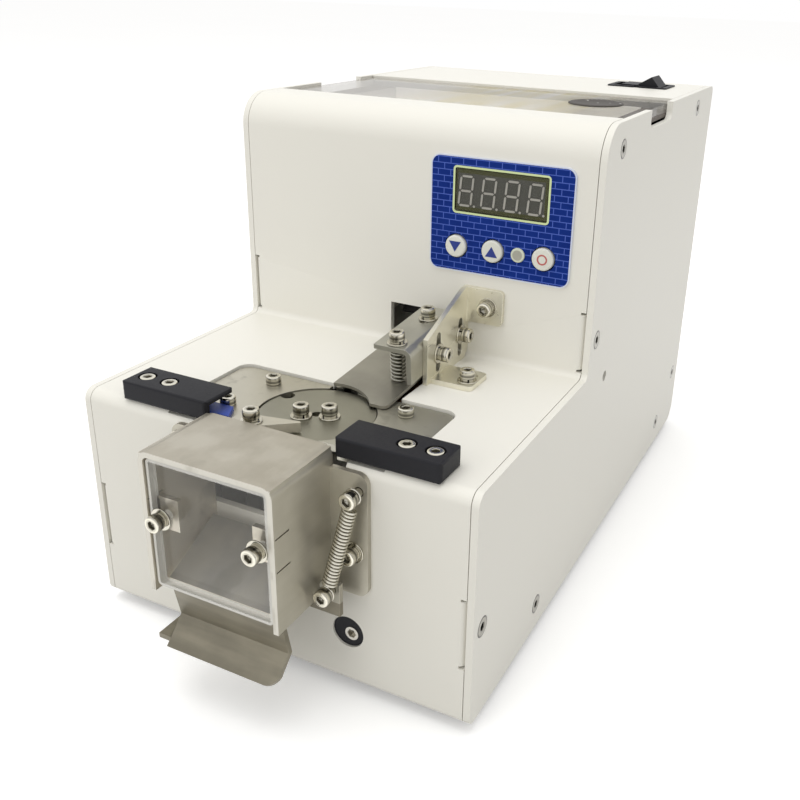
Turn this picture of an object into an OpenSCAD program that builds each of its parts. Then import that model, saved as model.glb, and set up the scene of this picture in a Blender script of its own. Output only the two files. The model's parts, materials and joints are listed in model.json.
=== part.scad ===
// Bench screw feeder: hopper, feed rail, indexing turntable, counter display and sprung catch box.
// Machine coordinates: x to the right, y back from the front face, z up from the side plates' lower edge.

/* [Body] */
// Overall width across the side plates
body_w = 123; // [116:0.5:150]
// Depth from the front face to the back face
body_d = 213; // [205:0.5:250]
// Height of the side plates
body_h = 142.5; // [136:0.5:170]
// Height of the working deck
deck_h = 68.4; // [64:0.2:74]
// Depth of the working deck, from the front face to the riser
deck_d = 77.7; // [75:0.1:84]
// Side plate thickness
side_t = 2; // [1.6:0.1:3]
// Thickness of the covers and the base
sheet_t = 2; // [1.5:0.1:2.4]
// Gap between neighbouring sheets at a seam
seam = 0.2; // [0.1:0.05:0.4]
// Height of the rubber feet
foot_h = 3; // [2:0.5:8]
// Diameter of the rubber feet
foot_d = 14; // [8:1:18]

/* [Rounding] */
// Bend between the front face and the deck
nose_r = 3.5; // [3:0.1:6]
// Inner corner between the deck and the riser
step_r = 2; // [0.5:0.1:4]
// Bend between the riser and the top
brow_r = 10; // [5:0.5:11]
// Top rear corner
crown_r = 3; // [3:0.1:6]
// Bottom rear corner
heel_r = 7.5; // [4:0.5:10]
// Bottom front corner
toe_r = 2.6; // [2.6:0.1:5]

/* [Hopper] */
// Depth of the top strip in front of the lid
strip_d = 19.3; // [18.5:0.1:24]
// Depth of the lid opening
lid_d = 60; // [58:0.5:70]
// Lid thickness
lid_t = 3; // [2:0.1:4]
// How far the lid lies below the top
lid_drop = 0.8; // [0.2:0.1:2]
// Length of the finger notches
finger_l = 27; // [20:0.5:30]
// Depth of the finger notches
finger_h = 5.7; // [4:0.1:8]
// Width of the hopper's side ledges
ledge_w = 10; // [6:0.5:12]
// Hopper wall thickness
tray_t = 1.5; // [1:0.1:2]

/* [Turntable] */
// Sideways position of the feed line
feed_x = 1.9; // [-1:0.1:3]
// Distance from the front face to the turntable's axis
disc_y = 20.4; // [20:0.1:20.8]
// Turntable diameter
disc_d = 32.6; // [30:0.1:33]
// Turntable thickness
disc_t = 2; // [1.5:0.1:3]
// Gap round the turntable
disc_gap = 0.3; // [0.2:0.05:0.6]
// Depth of the turntable's top below the table
disc_drop = 0.4; // [0.2:0.1:0.5]
// Width of the screw notches in the turntable's rim
notch_d = 4; // [3:0.1:5]
// Table plate thickness
table_t = 2; // [1.5:0.1:3]
// Depth of the table's top below the deck
table_drop = 0.7; // [0.4:0.1:1]

/* [Feed rail] */
// Slope of the rail, in degrees
feed_tilt = 4.5; // [2:0.1:5]
// Width of the rail
rail_w = 8; // [6:0.1:9]
// Height of the rail
rail_h = 12; // [9:0.5:13]
// Width of the slot that the screws hang in
rail_slot = 2.6; // [1.5:0.1:4]

/* [Deck opening] */
// Width of the opening
opening_w = 72.5; // [70:0.1:76]
// Depth of the opening
opening_d = 38.3; // [37.6:0.1:40]
// Width of the opening below the sensor blocks
throat_w = 67.5; // [64:0.1:69]
// Width of the notch in the front face behind the catch box
drop_w = 46.6; // [44:0.1:48]

/* [Guide] */
// Width of the guide plate
guide_w = 20.9; // [20:0.1:21.4]
// Thickness of the guide plate
guide_t = 1; // [0.8:0.1:1.4]
// Gap between the rail and the guide plate
guide_gap = 1; // [0.9:0.1:1.6]
// How far the guide plate can be lifted
guide_lift = 0.8; // [0.4:0.1:1]
// Height of the hanger's top above the rail
hanger_h = 13.7; // [13:0.1:15]
// Thickness of the hanger and its bracket
bracket_t = 1.5; // [1:0.1:2]

/* [Sensor blocks] */
// Length of a sensor block
sensor_l = 29.6; // [28:0.1:30]
// Depth of a sensor block
sensor_d = 11.9; // [11:0.1:12]
// Height of a sensor block
sensor_h = 5.5; // [4:0.1:7]
// Distance from the feed line to a block's middle
sensor_off = 34.5; // [34:0.1:35.5]

/* [Catch box] */
// Outside width of the box
box_w = 39.5; // [37:0.1:41]
// Outside height of the box
box_h = 40; // [39:0.1:44]
// Depth of the box in front of the front face
box_d = 25; // [24.6:0.1:30]
// Sheet thickness of the box
box_t = 1.5; // [1:0.1:1.8]
// Height of the box's top above the deck
box_rise = 3.4; // [2:0.1:4]
// Width of each flange beside the box
flange_w = 10.8; // [9:0.1:12]
// Window thickness
window_t = 2.5; // [2:0.1:3]

/* [Trap door] */
// Sheet thickness of the door
door_t = 1.5; // [1:0.1:1.6]
// Gap between the door and the side walls
door_gap = 1; // [0.5:0.1:1.5]
// Hinge pin diameter
pin_d = 2; // [1.5:0.1:2.4]
// Length of the flared tab
tab_l = 9.4; // [6:0.1:11]
// Outside diameter of the tension spring
spring_d = 4.1; // [3:0.1:4.6]

/* [Display] */
// Width of the label plate
label_w = 45.4; // [44:0.1:48]
// Height of the label plate
label_h = 35; // [34:0.1:37]
// Distance from the label to the right edge of the body
label_edge = 8.1; // [7:0.1:10]
// Distance from the top of the body to the label
label_drop = 12; // [11:0.1:13]
// Width of the digit window
view_w = 29.1; // [28:0.1:34]
// Height of the digit window
view_h = 12.6; // [12:0.1:14]
// Diameter of a push button
button_d = 6.8; // [6:0.1:7.6]
// Travel of a push button
button_travel = 0.8; // [0.3:0.1:1]

/* [Power switch] */
// Length of the switch bezel
bezel_l = 22.4; // [21:0.1:23]
// Width of the switch bezel
bezel_w = 15; // [14:0.1:16]
// Distance from the switch's middle to the right edge of the body
switch_edge = 22.7; // [20:0.1:30]
// Distance from the back face to the switch
switch_back = 22; // [18:0.5:26]
// Tilt of the rocker to either side, in degrees
rocker_tilt = 15; // [10:0.5:16]

/* [Screws] */
// Thread diameter
screw_d = 2.5; // [2.4:0.1:2.8]
// Head diameter of a socket screw
head_d = 4.5; // [4.2:0.1:5]
// Head height of a socket screw
head_h = 2.5; // [2:0.1:3]
// Head diameter of a countersunk screw
csk_d = 5.8; // [5.4:0.1:6]

/* [Hidden] */
$fn = 48;

// Clearances
fit = 0.1;
run_fit = 0.05;
tap_fit = 0.04;
// What a cut reaches past the face that it starts from
past = 1;

// Heights and depths that several pieces share
inner_w = body_w - 2 * side_t;
half_in = inner_w / 2 - seam;
table_z = deck_h - table_drop;
lid_y = deck_d + strip_d;
disc_x = feed_x + 1.4;
disc_r = disc_d / 2;
disc_top = table_z - disc_drop;
lid_z = body_h - lid_drop - lid_t;
washer_t = 0.5;
lock_t = 0.7;
stack_t = washer_t + lock_t;
socket_r = 1.2;

// Overall depth, for an origin under the middle of the bounding box
window_y = -box_d + 0.6;
front_reach = head_h + stack_t - window_y;
face_y = (front_reach - body_d) / 2;

// Side screws: [y, z], in the front cover, the rear cover and the base
cover_screws = [[lid_y - 4.2, body_h - 7.9], [deck_d + 6.1, deck_h + 10.8], [5.5, 28.3]];
rear_screws = [[body_d - 24.2, body_h - 6.1], [body_d - 8.4, 24.1]];
base_screws = [[body_d - 29.6, 9.2], [45.8, 8.4]];
side_screws = concat(cover_screws, rear_screws, base_screws);
front_bent = [18.1, 38.4];
riser_bent = [deck_h + 2.1, deck_h + 20.2];
relief_d = 1.6;
relief_w = 0.8;
bend_r = 2.4;
key_r = 1.8;

// Table, drive and turntable
throat_drop = 1;
table_gap = 0.6;
table_y0 = 3.6;
table_posts = [[-22, 10.5], [22, 10.5], [-24.3, -7.4], [24.3, -5]];
post_r = 3.5;
motor_z = table_z - 17.4;
motor_plate_t = 3;
shaft_r = 2.5;
hub_t = 4;
disc_bolts = [[-2.9, -3.2], [4.1, 0.1]];
notch_at = [156, 336];
arm_bolt = [-8.7, -17.2];
arm_t = 2.7;

// Rail
rail_gap = 1.4;
rail_y = disc_y + disc_r + rail_gap;
rail_z = table_z - 0.3;
rail_room = 0.5;
tray_y0 = lid_y + 2.6;
rail_l = (tray_y0 + 0.8 - rail_y) / cos(feed_tilt);
leaf_t = 0.6;
leaf_at = [rail_y + 17.8, rail_y + 47.8];
plinth_z = 20;

// Guide, measured in the tilted frame
guide_x0 = -3.7;
guide_y1 = (deck_d - 2.4 - rail_y) / cos(feed_tilt);
guide_arc = disc_r - 2.1;
guide_y0 = 2.8;
guide_bolts = [guide_y0 + 5.9, guide_y1 - 9.4];
guide_bolt_x = guide_x0 + guide_w - 4.9;
hanger_x1 = guide_x0 + guide_w + 1.2;
hanger_x0 = hanger_x1 - 12;
hanger_y = [guide_y0 + 2.6, guide_y1 - 1];
clamp_bolts = [[guide_y1 - 17.7, 7.3], [guide_y1 - 2.9, 7.3]];
guide_spring_r = 2.3;

// Bracket beside the hanger
bracket_y0 = deck_d - 27.7;
bracket_rise = 23.1;
ear_h = 11.2;
ear_w = 13.2;
foot_y = [2, 14.2];
foot_w = 14.6;
foot_bolt = [10.1, 5.9];
ear_bolt = [8.4, 5.6];

// Sensor blocks
sensor_y = 0.3 + sensor_d / 2;
sensor_bolts = [2.6, 10.4];
pocket_l = 8.5;
sensor_wall = 1.2;

// Catch box and trap door
box_z = deck_h + box_rise - box_h;
box_half = box_w / 2;
flange_z = [-0.8, 34.8];
flange_bolts = [[box_half + 8.3, 29.9], [box_half + 6.6, 12]];
window_bolt_x = box_half - 5.3;
window_bolt_z = box_z + 22;
window_tab_h = 9;
door_half = box_half - box_t - door_gap;
hinge_y = -6.5;
hinge_z = box_z + 3.2;
knuckle_r = pin_d / 2 + 0.9;
knuckle_half = door_half + 0.4;
door_line = [[-2.4, 10.3], [window_y + window_t + 1.7, 1.4], [-17.4, -11.5]];
tab_turn = 225.4;
ear_x = [box_half + 1.1, box_half + 5.9];
door_step_z = box_z - 1.4;
post_low = [(ear_x[0] + ear_x[1]) / 2, hinge_z + 0.1];
post_high = [flange_bolts[0][0], box_z + flange_bolts[0][1]];
hook_high_y = -4.1;
hook_low_y = hinge_y - 3;
post_out = 3.5;
post_reach = 2.7;
hook_l = [0.8, 1.5];
wire_r = 0.35;

// Display
label_t = 0.6;
label_x = body_w / 2 - label_edge - label_w / 2;
label_z = body_h - label_drop - label_h / 2;
view_z = label_z + 7.6;
button_z = label_z - 9.6;
button_at = [-13.7, -1.7, 14.4];
lens_at = 6.4;
lens_d = 4.4;
button_out = 1;
board_y = deck_d + sheet_t + 6.3;
board_t = 1.6;

// Switch
switch_y = body_d - switch_back;
switch_x = body_w / 2 - switch_edge;
rocker_half = 5.85;
rocker_foot = 8;
rocker_rise = 2.5;
switch_wall = 0.9;

// Hopper
tray_y1 = lid_y + lid_d + 1;
tray_half = half_in - ledge_w;
ledge_t = 1.2;
knee_z = deck_h + 16.6;
bed_top = deck_h - 10.4;
bed_z = deck_h - 24.4;
bed_half = 9.5;
scoop_y = tray_y0 + 6.4;
scoop_z = bed_z + 6;
scoop_drop = 25;
scoop_shaft_r = 2.5;
brush_room = tray_y0 - deck_d - sheet_t;
brush_y = deck_d + sheet_t + brush_room / 2 + 0.8;
brush_z = deck_h + 14;
brush_r = brush_room / 2 - 1.95;
brush_shaft_r = 2;
cheek_x = [12, 13.5];
lift_x = 20;

// Lower front adjusting screw and power inlet
adjust_x = feed_x + 23.3;
adjust_z = 16.8;
adjust_r = 4.75;
adjust_d = 4;
inlet_x = -body_w / 2 + 31.5;
inlet_z = 30;
inlet_r = 5.5;

// Placement and shape helpers

module seat() translate([0, face_y, foot_h]) children();

// The frame of the sloping rail: y along the rail, z square to it, from the rail's front top edge
module tilted() translate([feed_x, rail_y, rail_z]) rotate([feed_tilt, 0, 0]) children();

// A (y, z) outline drawn out along x, and an (x, z) outline drawn out along y
module along_x(x0, length) translate([x0, 0, 0]) rotate([90, 0, 90]) linear_extrude(length) children();
module along_y(y0, length) translate([0, y0 + length, 0]) rotate([90, 0, 0])
    linear_extrude(length) children();

// What a square corner at the origin loses when it is rounded
module corner(r) difference() {
    translate([-past, -past]) square(r + past);
    translate([r, r]) circle(r);
}

module soft_rect(w, h, r) {
    square([w - 2 * r, h], center = true);
    square([w, h - 2 * r], center = true);
    for (x = [-1, 1], y = [-1, 1]) translate([x * (w / 2 - r), y * (h / 2 - r)]) circle(r);
}

module soft_block(size, r) intersection() {
    translate([0, 0, -past]) linear_extrude(size[2] + 2 * past) soft_rect(size[0], size[1], r);
    along_x(-size[0], 2 * size[0]) translate([0, size[2] / 2]) soft_rect(size[1], size[2], r / 2);
    along_y(-size[1], 2 * size[1]) translate([0, size[2] / 2]) soft_rect(size[0], size[2], r / 2);
}

// A slot with round ends, from the origin along +y
module slot(length, r) {
    circle(r);
    translate([0, length]) circle(r);
    translate([-r, 0]) square([2 * r, length]);
}

// A bent strip of even thickness along a line of points
function unit(v) = v / norm(v);
function turned(v) = [-v[1], v[0]];
function before(p, i) = unit(i > 0 ? p[i] - p[i - 1] : p[1] - p[0]);
function after(p, i) = unit(i < len(p) - 1 ? p[i + 1] - p[i] : p[i] - p[i - 1]);
function mitre(p, i) = let (a = turned(before(p, i)), m = unit(a + turned(after(p, i)))) m / (m * a);
function strip(p, t) = concat(
    [for (i = [0 : len(p) - 1]) p[i] + mitre(p, i) * t / 2],
    [for (i = [len(p) - 1 : -1 : 0]) p[i] - mitre(p, i) * t / 2]
);

// Stepped outline of the body in (y, z), drawn in by an inset
module step_outline(inset) {
    low = deck_h - inset;
    high = body_h - inset;
    back = body_d - inset;
    riser = deck_d + inset;
    difference() {
        union() {
            translate([inset, inset]) square([back - inset, low - inset]);
            translate([riser, inset]) square([back - riser, high - inset]);
            translate([riser, low]) mirror([1, 0]) corner(step_r + inset);
        }
        translate([inset, inset]) corner(toe_r - inset);
        translate([inset, low]) mirror([0, 1]) corner(nose_r - inset);
        translate([riser, high]) mirror([0, 1]) corner(brow_r - inset);
        translate([back, high]) rotate(180) corner(crown_r - inset);
        translate([back, inset]) mirror([1, 0]) corner(heel_r - inset);
    }
}

// Fasteners, with the axis along +z and the seat at z = 0

module socket(top) translate([0, 0, top - head_h / 2]) cylinder(h = head_h, r = socket_r, $fn = 6);

module cap_screw(length) difference() {
    union() {
        translate([0, 0, -length]) cylinder(h = length + head_h / 2, d = screw_d);
        cylinder(h = head_h, d = head_d);
    }
    socket(head_h);
}

module washered_screw(length) difference() {
    union() {
        translate([0, 0, -length]) cylinder(h = length + stack_t, d = screw_d);
        cylinder(h = washer_t, d = head_d + 1.5);
        translate([0, 0, washer_t]) cylinder(h = lock_t, d = head_d - 0.3);
        translate([0, 0, stack_t]) cylinder(h = head_h, d = head_d);
    }
    socket(stack_t + head_h);
}

csk_h = (csk_d - screw_d) / 2;
module csk_screw(length) difference() {
    union() {
        translate([0, 0, -length]) cylinder(h = length - csk_h / 2, d = screw_d);
        translate([0, 0, -csk_h]) cylinder(h = csk_h, d1 = screw_d, d2 = csk_d);
    }
    translate([0, 0, -csk_h]) cylinder(h = csk_h + past, r = socket_r * 0.8, $fn = 6);
}

module csk_hole(depth) {
    translate([0, 0, -depth]) cylinder(h = depth + past, r = screw_d / 2 + fit);
    translate([0, 0, -csk_h]) cylinder(h = csk_h + past, r1 = screw_d / 2 + fit, r2 = csk_d / 2 + fit + past);
}

module hole(depth, gap = fit) translate([0, 0, -depth]) cylinder(h = depth + past, r = screw_d / 2 + gap);

// Turns that point a fastener's head at the front, the right and the left
module facing_front() rotate([90, 0, 0]) children();
module facing_right() rotate([0, 90, 0]) children();
module facing_left() rotate([0, -90, 0]) children();

// Housing

module side_outline() difference() {
    step_outline(0);
    translate([lid_y + lid_d / 2 + 7.5, body_h - finger_h / 2 + past])
        soft_rect(finger_l, finger_h + 2 * past, past + 1.5);
}

module side_plate(bores) difference() {
    along_x(inner_w / 2, side_t) difference() {
        side_outline();
        for (p = bores) translate(p) circle(key_r);
    }
    for (p = side_screws) translate([body_w / 2, p[0], p[1]]) facing_right() csk_hole(side_t + past);
}

module right_side_plate() color("whitesmoke") seat() side_plate([[deck_d + 18.4, deck_h - 5.6]]);

module left_side_plate() color("whitesmoke") seat() mirror([1, 0, 0]) side_plate([]);

// A flange inside a side plate that the side screws are threaded into
function around(middle, reach) = [middle - reach, middle + reach];
module screw_tab(at, y, z) for (s = [-1, 1]) translate([s * half_in, 0, 0]) difference() {
    along_x(s > 0 ? -sheet_t : 0, sheet_t) translate([y[0], z[0]]) square([y[1] - y[0], z[1] - z[0]]);
    translate([-sheet_t, at[0], at[1]]) facing_right() cylinder(h = 2 * sheet_t, r = screw_d / 2 + tap_fit);
}

module front_bend() difference() {
    step_outline(0);
    step_outline(sheet_t);
    translate([sheet_t, -past]) square([body_d, deck_h / 2]);
    translate([lid_y, -past]) square([body_d, body_h + 2 * past]);
}

module deck_cuts() translate([feed_x, 0, deck_h - sheet_t - past]) {
    linear_extrude(sheet_t + 2 * past) {
        translate([0, (opening_d + 13) / 2]) soft_rect(opening_w, opening_d - 13, 4);
        translate([-throat_w / 2, table_y0 - table_gap]) square([throat_w, opening_d / 2]);
        translate([guide_x0 - 0.8, opening_d - past])
            square([guide_w + 1.6, deck_d - step_r - sheet_t - opening_d]);
        for (s = [-1, 1], x = sensor_bolts) translate([s * (sensor_off + x), sensor_y])
            circle(screw_d / 2 + tap_fit);
        translate([hanger_x1 + bracket_t + foot_bolt[0], bracket_y0 + foot_bolt[1]])
            circle(screw_d / 2 + tap_fit);
    }
    translate([-throat_w / 2, -past, sheet_t + past - throat_drop])
        cube([throat_w, 2 * table_y0, throat_drop + past]);
}

// The rail's slot through the bend, and the window above it
module riser_cuts() translate([feed_x, 0, 0]) {
    translate([-rail_w / 2 - rail_room, opening_d, deck_h - sheet_t - 3])
        cube([rail_w + 2 * rail_room, deck_d - opening_d + sheet_t + past, sheet_t + 8]);
    translate([-7.8, deck_d - past, deck_h + 3.1]) cube([15.6, sheet_t + 2 * past, 9.9]);
    translate([hanger_x1 + ear_bolt[0], deck_d, deck_h + bracket_rise - ear_bolt[1]])
        facing_front() hole(sheet_t + past, tap_fit);
}

module front_cuts() {
    translate([feed_x - drop_w / 2, -past, box_z + 13.2]) cube([drop_w, sheet_t + 2 * past, deck_h]);
    translate([adjust_x, 0, adjust_z]) facing_front() translate([0, 0, -sheet_t - past])
        cylinder(h = sheet_t + 2 * past, r = adjust_r);
    for (s = [-1, 1], b = flange_bolts) translate([feed_x + s * b[0], 0, box_z + b[1]])
        facing_front() hole(sheet_t + past, tap_fit);
}

module display_cuts() translate([label_x, deck_d, 0]) facing_front() translate([0, 0, -sheet_t - past])
    linear_extrude(sheet_t + 2 * past) {
        translate([0, view_z]) square([view_w + 2 * fit, view_h + 2 * fit], center = true);
        for (x = button_at) translate([x, button_z]) circle(button_d / 2 + 0.4);
        translate([lens_at, button_z]) circle(lens_d / 2 + fit);
    }

// A side edge where a screw tab bends back from the sheet, between two small reliefs
module bent_edge(y, z) for (s = [-1, 1]) translate([s * half_in, y, 0]) {
    for (at = z) translate([s > 0 ? -relief_d : -past, -past, at - relief_w / 2])
        cube([relief_d + past, sheet_t + 2 * past, relief_w]);
    translate([s * 0.12, -0.12, z[0]]) linear_extrude(z[1] - z[0])
        if (s > 0) mirror([1, 0]) corner(bend_r); else corner(bend_r);
}

module edge_reliefs() {
    bent_edge(0, front_bent);
    bent_edge(deck_d, riser_bent);
}

module front_cover() color("white") seat() difference() {
    union() {
        along_x(-half_in, 2 * half_in) front_bend();
        screw_tab(cover_screws[0], [lid_y - 11, lid_y - seam], [body_h - 14, body_h - sheet_t / 2]);
        screw_tab(cover_screws[1], [deck_d + sheet_t / 2, deck_d + 12], riser_bent + [0.7, -0.7]);
        screw_tab(cover_screws[2], [sheet_t / 2, 12], front_bent + [0.7, -0.7]);
    }
    deck_cuts();
    riser_cuts();
    front_cuts();
    display_cuts();
    edge_reliefs();
}

module rear_bend() difference() {
    step_outline(0);
    step_outline(sheet_t);
    translate([-past, -past]) square([lid_y + lid_d + past, body_h + 2 * past]);
    translate([-past, -past]) square([body_d - heel_r + past, body_h / 2]);
}

module rear_cover() color("white") seat() difference() {
    union() {
        along_x(-half_in, 2 * half_in) rear_bend();
        screw_tab(rear_screws[0], around(rear_screws[0][0], 6), [body_h - 13, body_h - sheet_t / 2]);
        screw_tab(rear_screws[1], [body_d - 15, body_d - sheet_t / 2], around(rear_screws[1][1], 6));
    }
    translate([switch_x, switch_y, body_h - sheet_t - past]) linear_extrude(sheet_t + 2 * past)
        square([bezel_l - 1.8 + 2 * fit, bezel_w - 1.8 + 2 * fit], center = true);
    translate([inlet_x, body_d, inlet_z]) facing_front() translate([0, 0, -past])
        cylinder(h = sheet_t + 2 * past, r = inlet_r + fit);
}

module base_plate() color("gainsboro") seat() {
    base_y0 = sheet_t + seam;
    base_l = body_d - heel_r - seam - base_y0;
    translate([-half_in, base_y0, 0]) cube([2 * half_in, base_l, sheet_t]);
    for (p = base_screws) screw_tab(p, around(p[0], 12), [0, 16]);
}

module rubber_feet() color("dimgray") seat()
    for (s = [-1, 1], y = [20, body_d - 26]) translate([s * (inner_w / 2 - 13), y, -foot_h])
        cylinder(h = foot_h, d1 = foot_d - 2, d2 = foot_d);

module panel_screws() color("silver") seat() for (p = side_screws) {
    translate([body_w / 2, p[0], p[1]]) facing_right() csk_screw(side_t + seam + sheet_t + 1);
    translate([-body_w / 2, p[0], p[1]]) facing_left() csk_screw(side_t + seam + sheet_t + 1);
}

// Hopper

module hopper_lid() color("lightcyan", 0.4) seat()
    translate([0, lid_y + lid_d / 2, lid_z]) linear_extrude(lid_t) soft_rect(inner_w - 1, lid_d - 0.8, 1.5);

function bowl(half, top, knee, bed, bed_edge, floor_z) = [
    [-half, top], [-half, knee], [feed_x - bed, bed_edge], [feed_x - bed, floor_z],
    [feed_x + bed, floor_z], [feed_x + bed, bed_edge], [half, knee], [half, top]
];

module hopper_tray() color("wheat") seat() difference() {
    union() {
        along_y(tray_y0, tray_y1 - tray_y0) polygon(bowl(tray_half + tray_t, lid_z, knee_z - 0.8,
            bed_half + tray_t, bed_top - 0.8, bed_z - tray_t));
        for (s = [-1, 1]) translate([s * (tray_half + ledge_w / 2) - ledge_w / 2, tray_y0, lid_z - ledge_t])
            cube([ledge_w, tray_y1 - tray_y0, ledge_t]);
        for (s = [-1, 1]) translate([feed_x + (s > 0 ? cheek_x[0] : -cheek_x[1]), brush_y - 5, brush_z - 5])
            cube([cheek_x[1] - cheek_x[0], tray_y0 + tray_t / 2 - brush_y + 5, 10]);
    }
    along_y(tray_y0 + tray_t, tray_y1 - tray_y0 - 2 * tray_t) polygon(bowl(tray_half, lid_z + past, knee_z,
        bed_half, bed_top, bed_z));
    translate([feed_x - bed_half + 0.1, tray_y0 - past, bed_z])
        cube([2 * bed_half - 0.2, tray_t + 2 * past, deck_h + 32 - bed_z]);
    translate([feed_x - 2 * bed_half, scoop_y, scoop_z]) facing_right()
        cylinder(h = 4 * bed_half, r = scoop_shaft_r + run_fit);
    translate([feed_x - 2 * cheek_x[1], brush_y, brush_z]) facing_right()
        cylinder(h = 4 * cheek_x[1], r = brush_shaft_r + run_fit);
}

// Lifting scoop, drawn raised about its shaft and then turned down into the bowl
module scoop_outline() polygon([[-2, 22.5], [38, 28.2], [38, 14], [5, -3.2], [-3.5, -3.2], [-3.5, 10]]);

module lift_scoop() color("silver") seat() translate([feed_x, scoop_y, scoop_z]) rotate([-scoop_drop, 0, 0])
    difference() {
        union() {
            along_x(-rail_w / 2, rail_w) scoop_outline();
            translate([-bed_half - 4, 0, 0]) facing_right()
                cylinder(h = bed_half + 4 + lift_x + 9, r = scoop_shaft_r);
        }
        translate([-rail_slot / 2, 0, 0]) along_x(0, rail_slot)
            polygon([[-6, 13.5], [-6, 28], [42, 34], [42, 19.5]]);
    }

module lift_motor() color("dimgray") seat() translate([feed_x + lift_x, scoop_y, scoop_z]) facing_right()
    difference() {
        union() {
            cylinder(h = 16, r = 11);
            translate([0, 0, 16]) cylinder(h = 18, r = 9.5);
        }
        translate([0, 0, -past]) cylinder(h = 10 + past, r = scoop_shaft_r + run_fit);
    }

module lift_bracket() color("silver") seat() difference() {
    union() {
        translate([feed_x + lift_x - 2, scoop_y - 12, sheet_t]) cube([2, 24, scoop_z + 10.5 - sheet_t]);
        translate([feed_x + lift_x - 2, scoop_y - 12, sheet_t]) cube([16, 24, 2]);
    }
    translate([feed_x + lift_x - 4, scoop_y, scoop_z]) facing_right()
        cylinder(h = 8, r = scoop_shaft_r + 0.6);
}

module brush() color("darkkhaki") seat() translate([feed_x - 7.5, brush_y, brush_z]) facing_right() {
    translate([0, 0, -0.4]) cylinder(h = 15.8, r = 4.5);
    for (a = [0 : 36 : 324]) rotate(a) translate([4, -0.9, 0]) cube([brush_r - 4, 1.8, 15]);
    translate([0, 0, 7.5 - cheek_x[1] - 8]) cylinder(h = 2 * cheek_x[1] + 9, r = brush_shaft_r);
}

module brush_motor() color("dimgray") seat() translate([feed_x - cheek_x[1], brush_y, brush_z]) facing_left()
    difference() {
        cylinder(h = 28, r = brush_room / 2 - 2.35);
        translate([0, 0, -past]) cylinder(h = 9 + past, r = brush_shaft_r + run_fit);
    }

// Display

module on_riser(out) translate([label_x, deck_d - out, 0]) facing_front() children();

module display_panel() color("royalblue") seat() on_riser(0) linear_extrude(label_t) difference() {
    translate([0, label_z]) soft_rect(label_w, label_h, 3);
    translate([0, view_z]) square([view_w + 2 * fit, view_h + 2 * fit], center = true);
    for (x = button_at) translate([x, button_z]) circle(button_d / 2 + 0.35);
    translate([lens_at, button_z]) circle(lens_d / 2 + fit);
}

module display_window() color("dimgray", 0.6) seat() on_riser(-sheet_t)
    linear_extrude(sheet_t + label_t + 0.2) translate([0, view_z]) square([view_w, view_h], center = true);

module digit_module() color("black") seat() translate([label_x, deck_d + sheet_t + 0.2, view_z])
    along_y(0, board_y - deck_d - sheet_t - 0.2) square([view_w - 1, view_h - 0.6], center = true);

module display_board() color("seagreen") seat() {
    translate([label_x, 0, label_z]) along_y(board_y, board_t) soft_rect(label_w - 3, label_h - 2, 1);
    for (x = [-1, 1], z = [-1, 1])
        translate([label_x + x * (label_w / 2 - 4), 0, label_z + z * (label_h / 2 - 3.4)])
        along_y(deck_d + sheet_t, board_y - deck_d - sheet_t) circle(2);
    for (x = button_at) translate([label_x + x, 0, button_z])
        along_y(board_y - 1, 1) square(5, center = true);
}

module button(i) seat() on_riser(0) translate([button_at[i], button_z, 0]) {
    translate([0, 0, -sheet_t]) cylinder(h = sheet_t + label_t + button_out, d = button_d);
    translate([0, 0, deck_d - board_y + 1.1 + button_travel])
        cylinder(h = board_y - deck_d - sheet_t - 1 - button_travel, r = 1.5);
}

module button_down() color("ivory") button(0);

module button_up() color("ivory") button(1);

module button_set() color("ivory") button(2);

module indicator_lens() color("lightgray") seat() on_riser(-sheet_t) translate([lens_at, button_z, 0])
    cylinder(h = sheet_t + label_t + 0.4, d = lens_d);

// Power switch

module switch_housing() color("black") seat() translate([switch_x, switch_y, body_h]) difference() {
    union() {
        linear_extrude(0.5) soft_rect(bezel_l, bezel_w, 1);
        translate([0, 0, -16]) linear_extrude(16.3) square([bezel_l - 1.8, bezel_w - 1.8], center = true);
    }
    translate([0, 0, -8]) linear_extrude(12)
        square([bezel_l - 1.8 - 2 * switch_wall, bezel_w - 1.8 - 2 * switch_wall], center = true);
    facing_front() translate([0, 0, -bezel_w]) cylinder(h = 2 * bezel_w, r = 1 + run_fit);
}

// Rocker, drawn level about its pivot and then turned right end up
module rocker_outline() polygon([[-rocker_half, rocker_rise], [0, 0.9], [rocker_half, rocker_rise],
    [rocker_foot, -1.9], [5, -4], [-5, -4], [-rocker_foot, -1.9]]);

module switch_rocker() color("black") seat() translate([switch_x, switch_y, body_h])
    rotate([0, -rocker_tilt, 0]) {
    rocker_w = bezel_w - 1.8 - 2 * switch_wall - 0.6;
    along_y(-rocker_w / 2, rocker_w) rocker_outline();
    facing_front() translate([0, 0, -(bezel_w - 2) / 2]) cylinder(h = bezel_w - 2, r = 1);
}

// Table and turntable

module at_table_posts() for (p = table_posts) translate([disc_x + p[0], disc_y + p[1], 0]) children();

// Outline of the table: the deck opening less a gap, with a tongue over the notch in the front face
module table_outline() difference() {
    union() {
        translate([0, (opening_d + 13) / 2])
            soft_rect(opening_w - 2 * table_gap, opening_d - 13 - 2 * table_gap, 4 - table_gap);
        translate([-throat_w / 2 + table_gap, table_y0]) square([throat_w - 2 * table_gap, opening_d / 2]);
        translate([-drop_w / 2 + table_gap, 0.4]) square([drop_w / 2 - 4, table_y0]);
    }
    translate([disc_x - feed_x, disc_y]) circle(disc_r + disc_gap, $fn = 96);
    translate([-rail_w / 2 - rail_room, disc_y + disc_r * 0.8]) square([rail_w + 2 * rail_room, opening_d]);
    translate([-3.4, -past]) square([22, table_y0 + 3.2 + past]);
}

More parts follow.
